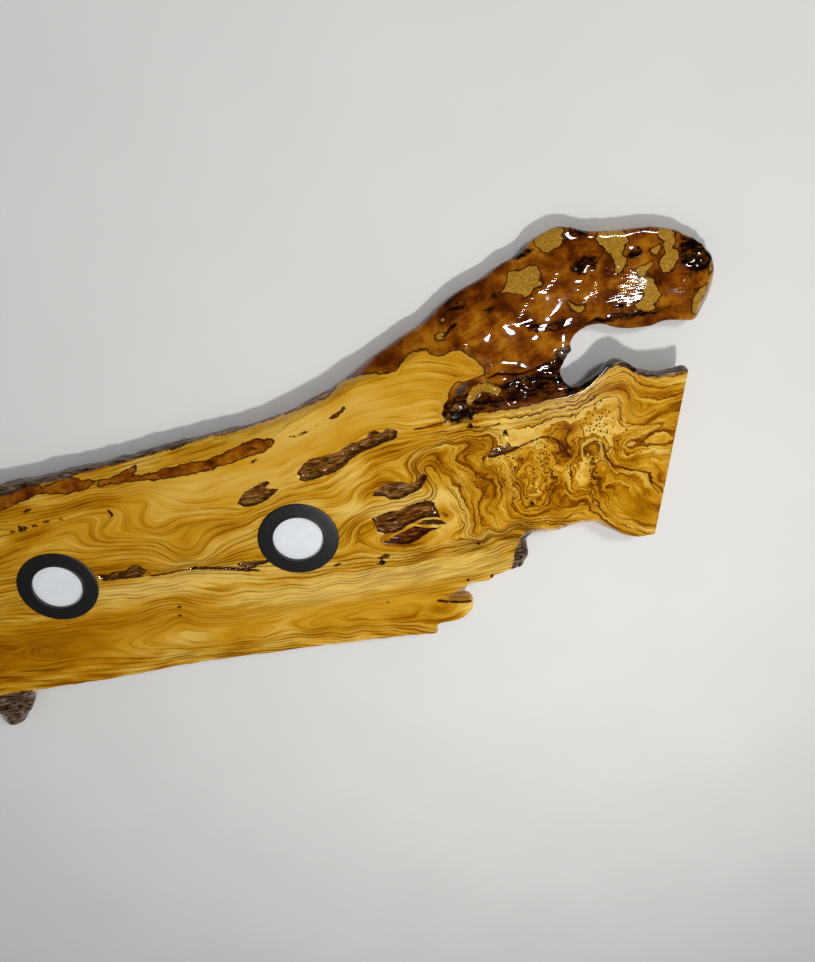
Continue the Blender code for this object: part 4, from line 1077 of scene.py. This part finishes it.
brown = add(tree, "Math", {0: wander, 1: 0.5, 2: brown}, operation="MULTIPLY_ADD")
brown = add(tree, "Math", {0: streaks, 1: 0.4, 2: brown}, operation="MULTIPLY_ADD")
skin = add(tree, "ValToRGB", {0: brown}, stops=(
    (0.15, "#2C1102"), (0.4, "#592603"), (0.62, "#864608"), (0.85, "#AC6C12")))
border = add(tree, "Math", {0: kept["skin"], 1: shift}, operation="ADD")
covered = add(tree, "MapRange", {0: border, 1: -0.4, 2: 0.4})
body = add(tree, "Mix", {0: covered, 6: body, 7: skin}, data_type="RGBA")
off_rim = add(tree, "Math", {0: border}, operation="ABSOLUTE")
rim = add(tree, "MapRange", {0: off_rim, 1: 0.5, 2: 1.5, 3: 0.9, 4: 0.0})
body = add(tree, "Mix", {0: rim, 6: body, 7: linear("#2A1003")}, data_type="RGBA")

# Bark: grey-brown fibres with black cracks. The palest fibres are partly pale bark and partly painted
# highlight.
fibres = add(tree, "Mapping", {"Vector": place, "Scale": (60.0, 330.0, 330.0)})
fibres = add(tree, "TexNoise", {"Vector": fibres, "Scale": 1.0, "Detail": 5.0, "Roughness": 0.65})
bark = add(tree, "ValToRGB", {0: fibres}, stops=(
    (0.3, "#120B06"), (0.45, "#3B281A"), (0.58, "#6E5A48"), (0.75, "#A8937F")))
barky = add(tree, "Math", {0: kept["bark"], 1: shift}, operation="ADD")
barky = add(tree, "MapRange", {0: barky, 1: -1.0, 2: 1.0})
body = add(tree, "Mix", {0: barky, 6: body, 7: bark}, data_type="RGBA")

# Crust: in the crotch and at the limb's end the skin is thick, cracked and black.
cracks = add(tree, "Mapping", {"Vector": place, "Scale": (70.0, 190.0, 190.0)})
cracks = add(tree, "TexNoise", {"Vector": cracks, "Scale": 1.0, "Detail": 4.0, "Roughness": 0.65})
crust = add(tree, "ValToRGB", {0: cracks}, stops=(
    (0.42, "#0B0502"), (0.53, "#2C1204"), (0.63, "#6A380A"), (0.78, "#9A6214")))
ragged = add(tree, "Math", {0: wander, 1: 1.6, 2: kept["crust"]}, operation="MULTIPLY_ADD")
ragged = add(tree, "MapRange", {0: ragged, 1: 1.15, 2: 1.45})
crusty = add(tree, "Math", {0: covered, 1: barky}, operation="MAXIMUM")
crusty = add(tree, "Math", {0: crusty, 1: ragged}, operation="MULTIPLY")
body = add(tree, "Mix", {0: crusty, 6: body, 7: crust}, data_type="RGBA")

# Rot: the floors of the pockets, from tan fibre to red-black. Their walls are darkest, which is painted shade
# in the hollows.
fibrous = add(tree, "Mapping", {"Vector": place, "Rotation": (0.0, 0.0, 0.3), "Scale": (70.0, 330.0, 250.0)})
rot_noise = add(tree, "TexNoise", {"Vector": fibrous, "Scale": 1.0, "Detail": 4.0, "Roughness": 0.6})
tan_rot = add(tree, "ValToRGB", {0: rot_noise}, stops=(
    (0.34, "#261002"), (0.5, "#74491A"), (0.66, "#B4843E")))
red_rot = add(tree, "ValToRGB", {0: rot_noise}, stops=(
    (0.34, "#220A02"), (0.52, "#5E2A0E"), (0.7, "#985C30")))
rot = add(tree, "Mix", {0: kept["redness"], 6: tan_rot, 7: red_rot}, data_type="RGBA")
# Painted shade: the walls near each pocket's mouth are darkened as if shadowed.
wall = add(tree, "MapRange", {0: kept["depth"], 1: 2.0, 2: 6.0, 3: 0.8, 4: 0.0})
rot = add(tree, "Mix", {0: wall, 6: rot, 7: linear("#2E1405")}, data_type="RGBA")
rotten = add(tree, "MapRange", {0: kept["depth"], 1: 0.4, 2: 1.2})
body = add(tree, "Mix", {0: rotten, 6: body, 7: rot}, data_type="RGBA")

# Stains and black marks, and the painted shade of the slit by the tongue.
for name, code in (("trace", "#7E4606"), ("stain", "#4A2006"), ("ink_and_slit_shade", "#0C0603")):
    dark = add(tree, "Math", {0: shift, 1: 0.5, 2: kept[name]}, operation="MULTIPLY_ADD")
    dark = add(tree, "MapRange", {0: dark, 1: -0.9, 2: 0.7, 3: 0.0, 4: 0.95})
    body = add(tree, "Mix", {0: dark, 6: body, 7: linear(code)}, data_type="RGBA")

# The wood's pores under the varnish, and the varnish's own ripples over the tree's uneven surface.
pores = add(tree, "Bump", {"Height": streak["fine"], "Distance": 0.15 * MM, "Strength": 0.5})
slanting = add(tree, "Mapping", {"Vector": place, "Rotation": (0.0, 0.0, -0.9), "Scale": (30.0, 260.0, 60.0)})
ripple = add(tree, "TexNoise", {"Vector": slanting, "Scale": 1.0, "Detail": 2.0})
ripple = add(tree, "Math", {0: ripple, 1: kept["ripples"]}, operation="MULTIPLY")
ripple = add(tree, "Math", {0: ripple, 1: kept["natural"]}, operation="MULTIPLY")
ripples = add(tree, "Bump", {"Height": ripple, "Distance": 2.0 * MM, "Strength": 1.0})
shader = add(tree, "BsdfPrincipled", {
    "Base Color": body, "Roughness": 0.5, "Specular IOR Level": 0.0, "Normal": pores,
    "Coat Weight": 1.0, "Coat Roughness": 0.07, "Coat IOR": 1.5, "Coat Normal": ripples})
add(tree, "OutputMaterial", {0: shader})
wood.data.materials.append(olive)

# Sawn olive wood: the back, straight off the bandsaw, dull and paler, with the blade's faint cross marks.
FACING_DOWN = -0.95
SAWN_BACK = 0.2 * MM
sawn, tree = new_tree("sawn olive wood")
place = add(tree, "TexCoord", {}).outputs["Object"]
grain = add(tree, "Mapping", {"Vector": place, "Scale": (6.0, 110.0, 110.0)})
grain = add(tree, "TexNoise", {"Vector": grain, "Scale": 1.0, "Detail": 4.0, "Distortion": 0.6})
pale = add(tree, "ValToRGB", {0: grain}, stops=((0.3, "#8A6234"), (0.5, "#B58C54"), (0.7, "#CDAA74")))
teeth = add(tree, "TexWave", {"Vector": place, "Scale": 90.0, "Distortion": 2.0, "Detail": 2.0})
marks = add(tree, "Bump", {"Height": teeth, "Distance": 0.2 * MM, "Strength": 0.6})
shader = add(tree, "BsdfPrincipled", {"Base Color": pale, "Roughness": 0.85, "Normal": marks})
add(tree, "OutputMaterial", {0: shader})
wood.data.materials.append(sawn)
for face in wood.data.polygons:
    if face.normal.z < FACING_DOWN and face.center.z < SAWN_BACK:
        face.material_index = 1


# The lamp cans.
# Each downlight hangs in the slab by a cast aluminium cup, as cast outside, with shallow cooling ribs round
# it. The ring's collar grips its rim.
CAN_RADIUS = 44 * MM
CAN_DEPTH = 33 * MM
SHEET = 1.6 * MM
CAN_BEVEL = 1.5 * MM
LOWEST_RIB = 3 * MM
RIB_PITCH = 4 * MM
RIB_DEPTH = 0.7 * MM
COLLAR_DEPTH = 7 * MM
GAP = 0.3 * MM
TURN_STEPS = 128
ARC_STEPS = 4
SHARP_ANGLE = 35

# A groove and the rib below it, downwards: how far in from the wall, in rib depths, and how high, in pitches.
RIB_PROFILE = ((0, 0.55), (1, 0.45), (1, 0.1), (0, 0))


def turned(name, profile, side):
    """A turned piece from its closed profile of (radius, height above the face), spun round a lamp's axis."""
    low, high = LAMPS[side]
    middle = Vector(((low.x + high.x) / 2, (low.y + high.y) / 2, SAWN_FACE))
    bm = bmesh.new()
    corners = [bm.verts.new(middle + Vector((r, 0, h))) for r, h in profile]
    for a, b in zip(corners, corners[1:] + corners[:1]):
        if (a.co - middle).xy.length > FLUSH or (b.co - middle).xy.length > FLUSH:
            bm.edges.new((a, b))
    bmesh.ops.spin(bm, geom=bm.verts[:] + bm.edges[:], cent=middle, axis=(0, 0, 1), angle=2 * math.pi,
                   steps=TURN_STEPS, use_merge=True)
    bmesh.ops.remove_doubles(bm, verts=bm.verts, dist=SAME_POINT)
    bmesh.ops.dissolve_degenerate(bm, edges=bm.edges, dist=0.1 * SAME_POINT)
    bmesh.ops.recalc_face_normals(bm, faces=bm.faces)
    piece = new_object(f"{name}_{side}", bm)
    piece.data.set_sharp_from_angle(angle=math.radians(SHARP_ANGLE))
    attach(piece, "root")
    return piece


def rounded(corner, before, after, radius):
    """The points of a small arc that rounds a corner of a profile."""
    corner, before, after = Vector(corner), Vector(before), Vector(after)
    start = corner + (before - corner).normalized() * radius
    end = corner + (after - corner).normalized() * radius
    points = []
    for step in range(ARC_STEPS + 1):
        t = step / ARC_STEPS
        points.append(tuple(start * (1 - t) ** 2 + corner * 2 * t * (1 - t) + end * t ** 2))
    return points


def softened(profile, radii):
    """A closed profile with the corners that have a radius rounded."""
    points = []
    for index, corner in enumerate(profile):
        radius = radii.get(index, 0)
        before = profile[index - 1]
        after = profile[(index + 1) % len(profile)]
        points += rounded(corner, before, after, radius) if radius else [corner]
    return points


# Cast aluminium: grey, with the sand's grain and no polish.
cast, tree = new_tree("cast aluminium")
place = add(tree, "TexCoord", {}).outputs["Object"]
sand = add(tree, "TexNoise", {"Vector": place, "Scale": 900.0, "Detail": 3.0})
grey = add(tree, "ValToRGB", {0: sand}, stops=((0.3, "#9A9C9F"), (0.7, "#B9BBBE")))
dulled = add(tree, "MapRange", {0: sand, 1: 0.3, 2: 0.7, 3: 0.42, 4: 0.58})
grains = add(tree, "Bump", {"Height": sand, "Distance": 0.1 * MM, "Strength": 0.5})
shader = add(tree, "BsdfPrincipled", {
    "Base Color": grey, "Metallic": 1.0, "Roughness": dulled, "Normal": grains})
add(tree, "OutputMaterial", {0: shader})

can_floor = 2 * SHEET - CAN_DEPTH
ribs = []
foot = LOWEST_RIB - CAN_DEPTH
while foot < -COLLAR_DEPTH - RIB_PITCH:
    ribs = [(CAN_RADIUS - inward * RIB_DEPTH, foot + up * RIB_PITCH) for inward, up in RIB_PROFILE] + ribs
    foot += RIB_PITCH
profile = [(0, can_floor), (CAN_RADIUS - SHEET, can_floor), (CAN_RADIUS - SHEET, -GAP), (CAN_RADIUS, -GAP)]
profile += ribs
profile += [(CAN_RADIUS, CAN_BEVEL - CAN_DEPTH), (CAN_RADIUS - CAN_BEVEL, -CAN_DEPTH), (0, -CAN_DEPTH)]
for side in LAMPS:
    can = turned("ribbed_can", profile, side)
    can.data.materials.append(cast)
    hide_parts(f"lamp_can_{side}")


# The trim rings.
# A die-cast ring lies on the face and hides the hole. It is powder-coated satin black, dished a little
# towards the light, with a rolled outer edge and a thin inner lip that holds the diffuser.
TRIM_RADIUS = 55 * MM
TRIM_HEIGHT = 3.4 * MM
TRIM_LIP = 1.2 * MM
APERTURE_RADIUS = 34.5 * MM
DIFFUSER_RADIUS = 37.4 * MM

coated, tree = new_tree("satin black powder coat")
place = add(tree, "TexCoord", {}).outputs["Object"]
grain = add(tree, "TexNoise", {"Vector": place, "Scale": 1400.0, "Detail": 2.0})
black = add(tree, "ValToRGB", {0: grain}, stops=((0.3, "#1B1C1B"), (0.7, "#232423")))
orange_peel = add(tree, "Bump", {"Height": grain, "Distance": 0.05 * MM, "Strength": 0.4})
shader = add(tree, "BsdfPrincipled", {"Base Color": black, "Roughness": 0.42, "Normal": orange_peel})
add(tree, "OutputMaterial", {0: shader})

# From the inner lip up over the crown, out to the rolled edge and down the collar. The radii are those of
# the rounded corners, by number.
collar_outside = CAN_RADIUS - SHEET - GAP
collar_inside = DIFFUSER_RADIUS + GAP
profile = [
    (APERTURE_RADIUS, -TRIM_LIP), (APERTURE_RADIUS, TRIM_HEIGHT - 0.6 * MM),
    (APERTURE_RADIUS + 0.6 * MM, TRIM_HEIGHT), (APERTURE_RADIUS + 2.2 * MM, TRIM_HEIGHT),
    (APERTURE_RADIUS + 3.0 * MM, TRIM_HEIGHT - 0.5 * MM), (TRIM_RADIUS - 3 * MM, 2.3 * MM),
    (TRIM_RADIUS - 1.2 * MM, 2.0 * MM), (TRIM_RADIUS, 1.2 * MM), (TRIM_RADIUS, GAP),
    (collar_outside, GAP), (collar_outside, -COLLAR_DEPTH), (collar_inside, -COLLAR_DEPTH),
    (collar_inside, -TRIM_LIP),
]
radii = {1: 0.2 * MM, 2: 0.25 * MM, 3: 0.3 * MM, 4: 0.3 * MM, 6: 0.6 * MM, 7: 0.4 * MM}
for side in LAMPS:
    ring_piece = turned("black_ring", softened(profile, radii), side)
    ring_piece.data.materials.append(coated)
    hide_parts(f"trim_ring_{side}")


# The diffusers.
# A moulded disc of opal acrylic lies behind each ring's lip. Its face is matt and very slightly crowned, and
# light gets a little way into it, so its edge is never quite dark.
DIFFUSER_THICKNESS = 2 * MM
CROWN = 0.25 * MM
CROWN_STEPS = 5
OPAL_GLOW = 4 * MM

opal, tree = new_tree("matt opal acrylic")
place = add(tree, "TexCoord", {}).outputs["Object"]
haze = add(tree, "TexNoise", {"Vector": place, "Scale": 60.0, "Detail": 3.0})
milk = add(tree, "ValToRGB", {0: haze}, stops=((0.3, "#E9ECEE"), (0.7, "#F1F3F5")))
frost = add(tree, "TexNoise", {"Vector": place, "Scale": 1800.0, "Detail": 1.0})
frosted = add(tree, "Bump", {"Height": frost, "Distance": 0.02 * MM, "Strength": 0.3})
shader = add(tree, "BsdfPrincipled", {
    "Base Color": milk, "Roughness": 0.5, "Normal": frosted, "Subsurface Weight": 0.15,
    "Subsurface Radius": (OPAL_GLOW, OPAL_GLOW, OPAL_GLOW), "Subsurface Scale": 1.0})
add(tree, "OutputMaterial", {0: shader})

disc_top = -TRIM_LIP - GAP
disc_foot = disc_top - DIFFUSER_THICKNESS
profile = []
for n in range(CROWN_STEPS + 1):
    profile.append((DIFFUSER_RADIUS * n / CROWN_STEPS, disc_top - CROWN * (n / CROWN_STEPS) ** 2))
profile += [(DIFFUSER_RADIUS, disc_foot), (0, disc_foot)]
for side in LAMPS:
    disc = turned("opal_disc", softened(profile, {CROWN_STEPS: 0.3 * MM}), side)
    disc.data.materials.append(opal)
    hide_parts(f"diffuser_{side}")


# The boards, grommets and clips.
# They keep their solid shapes: a white board for the light-emitting diodes in each can, a rubber grommet on
# its back where the lead goes in, and two sprung strips that press up on the back of the ledge.
board, tree = new_tree("white solder resist")
place = add(tree, "TexCoord", {}).outputs["Object"]
chips = add(tree, "TexVoronoi", {"Vector": place, "Scale": 110.0, "Randomness": 0.0}, distance="CHEBYCHEV")
chip = add(tree, "MapRange", {0: chips.outputs["Distance"], 1: 0.16, 2: 0.2, 3: 1.0, 4: 0.0})
paint = add(tree, "Mix", {0: chip, 6: linear("#E9E9E2"), 7: linear("#E2C23C")}, data_type="RGBA")
edge = add(tree, "Bump", {"Height": chip, "Distance": 0.3 * MM})
shader = add(tree, "BsdfPrincipled", {"Base Color": paint, "Roughness": 0.4, "Normal": edge})
add(tree, "OutputMaterial", {0: shader})

rubber, tree = new_tree("moulded black rubber")
place = add(tree, "TexCoord", {}).outputs["Object"]
bloom = add(tree, "TexNoise", {"Vector": place, "Scale": 500.0, "Detail": 3.0})
soot = add(tree, "ValToRGB", {0: bloom}, stops=((0.3, "#121212"), (0.75, "#242322")))
skin_bump = add(tree, "Bump", {"Height": bloom, "Distance": 0.05 * MM, "Strength": 0.4})
shader = add(tree, "BsdfPrincipled", {"Base Color": soot, "Roughness": 0.75, "Normal": skin_bump})
add(tree, "OutputMaterial", {0: shader})

spring, tree = new_tree("rolled spring steel")
place = add(tree, "TexCoord", {}).outputs["Object"]
rolled = add(tree, "Mapping", {"Vector": place, "Scale": (2500.0, 2500.0, 120.0)})
rolled = add(tree, "TexNoise", {"Vector": rolled, "Scale": 1.0, "Detail": 2.0})
steel = add(tree, "ValToRGB", {0: rolled}, stops=((0.3, "#8C8F93"), (0.7, "#B4B6B9")))
polish = add(tree, "MapRange", {0: rolled, 1: 0.3, 2: 0.7, 3: 0.24, 4: 0.38})
shader = add(tree, "BsdfPrincipled", {"Base Color": steel, "Metallic": 1.0, "Roughness": polish})
add(tree, "OutputMaterial", {0: shader})

for node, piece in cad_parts.items():
    for start, finish in (("led_board", board), ("cable_grommet", rubber), ("spring_clip", spring)):
        if node.startswith(start):
            if not piece.material_slots:
                piece.data.materials.append(finish)
            piece.material_slots[0].material = finish


# The studio.
# A plain pale floor under a soft even light that the varnish doesn't mirror. A softbox overhead and a small
# lamp at the lower right do show in it, and throw soft shadows. The camera stands at the photograph's place.
PHOTO_HEIGHT = 962
FOCAL_PIXELS = 939.0
SENSOR = 36.0
CAMERA_RIGHT = Vector((0.985, -0.162, 0.053))
CAMERA_BACK = Vector((0.032, 0.480, 0.877)).normalized()
FLOOR_REACH = 4.0

# Each lamp: name, place, diameter and watts.
STUDIO_LAMPS = (
    ("key lamp", (0.62, -0.42, 1.45), 0.16, 12),
    ("overhead softbox", (1.5, 1.6, 2.4), 0.5, 26),
)

lens = bpy.data.cameras.new("camera")
lens.sensor_fit = "VERTICAL"
lens.sensor_height = SENSOR
lens.lens = SENSOR * FOCAL_PIXELS / PHOTO_HEIGHT
camera = bpy.data.objects.new("camera", lens)
right = (CAMERA_RIGHT - CAMERA_BACK * CAMERA_RIGHT.dot(CAMERA_BACK)).normalized()
turn = Matrix((right, CAMERA_BACK.cross(right), CAMERA_BACK)).transposed().to_4x4()
camera.matrix_world = Matrix.Translation(EYE) @ turn
bpy.context.scene.collection.objects.link(camera)
bpy.context.scene.camera = camera

paper, tree = new_tree("pale matt paper")
place = add(tree, "TexCoord", {}).outputs["Object"]
fibre = add(tree, "TexNoise", {"Vector": place, "Scale": 6.0, "Detail": 2.0})
white = add(tree, "ValToRGB", {0: fibre}, stops=((0.2, "#E4E3DF"), (0.8, "#E9E8E4")))
shader = add(tree, "BsdfPrincipled", {"Base Color": white, "Roughness": 0.9})
add(tree, "OutputMaterial", {0: shader})
ground = bmesh.new()
bmesh.ops.create_grid(ground, x_segments=1, y_segments=1, size=FLOOR_REACH)
floor = new_object("floor", ground)
floor.data.materials.append(paper)

world = bpy.data.worlds.new("studio")
world.use_nodes = True
world.node_tree.nodes["Background"].inputs["Color"].default_value = linear("#F4F6FA")
world.node_tree.nodes["Background"].inputs["Strength"].default_value = 0.3
bpy.context.scene.world = world
world.cycles_visibility.glossy = False
for name, place, size, power in STUDIO_LAMPS:
    lamp = bpy.data.lights.new(name, "AREA")
    lamp.shape = "DISK"
    lamp.size = size
    lamp.energy = power
    stand = bpy.data.objects.new(name, lamp)
    stand.location = place
    stand.rotation_euler = (-Vector(place)).to_track_quat("-Z", "Y").to_euler()
    bpy.context.scene.collection.objects.link(stand)
bpy.context.scene.view_settings.view_transform = "Standard"
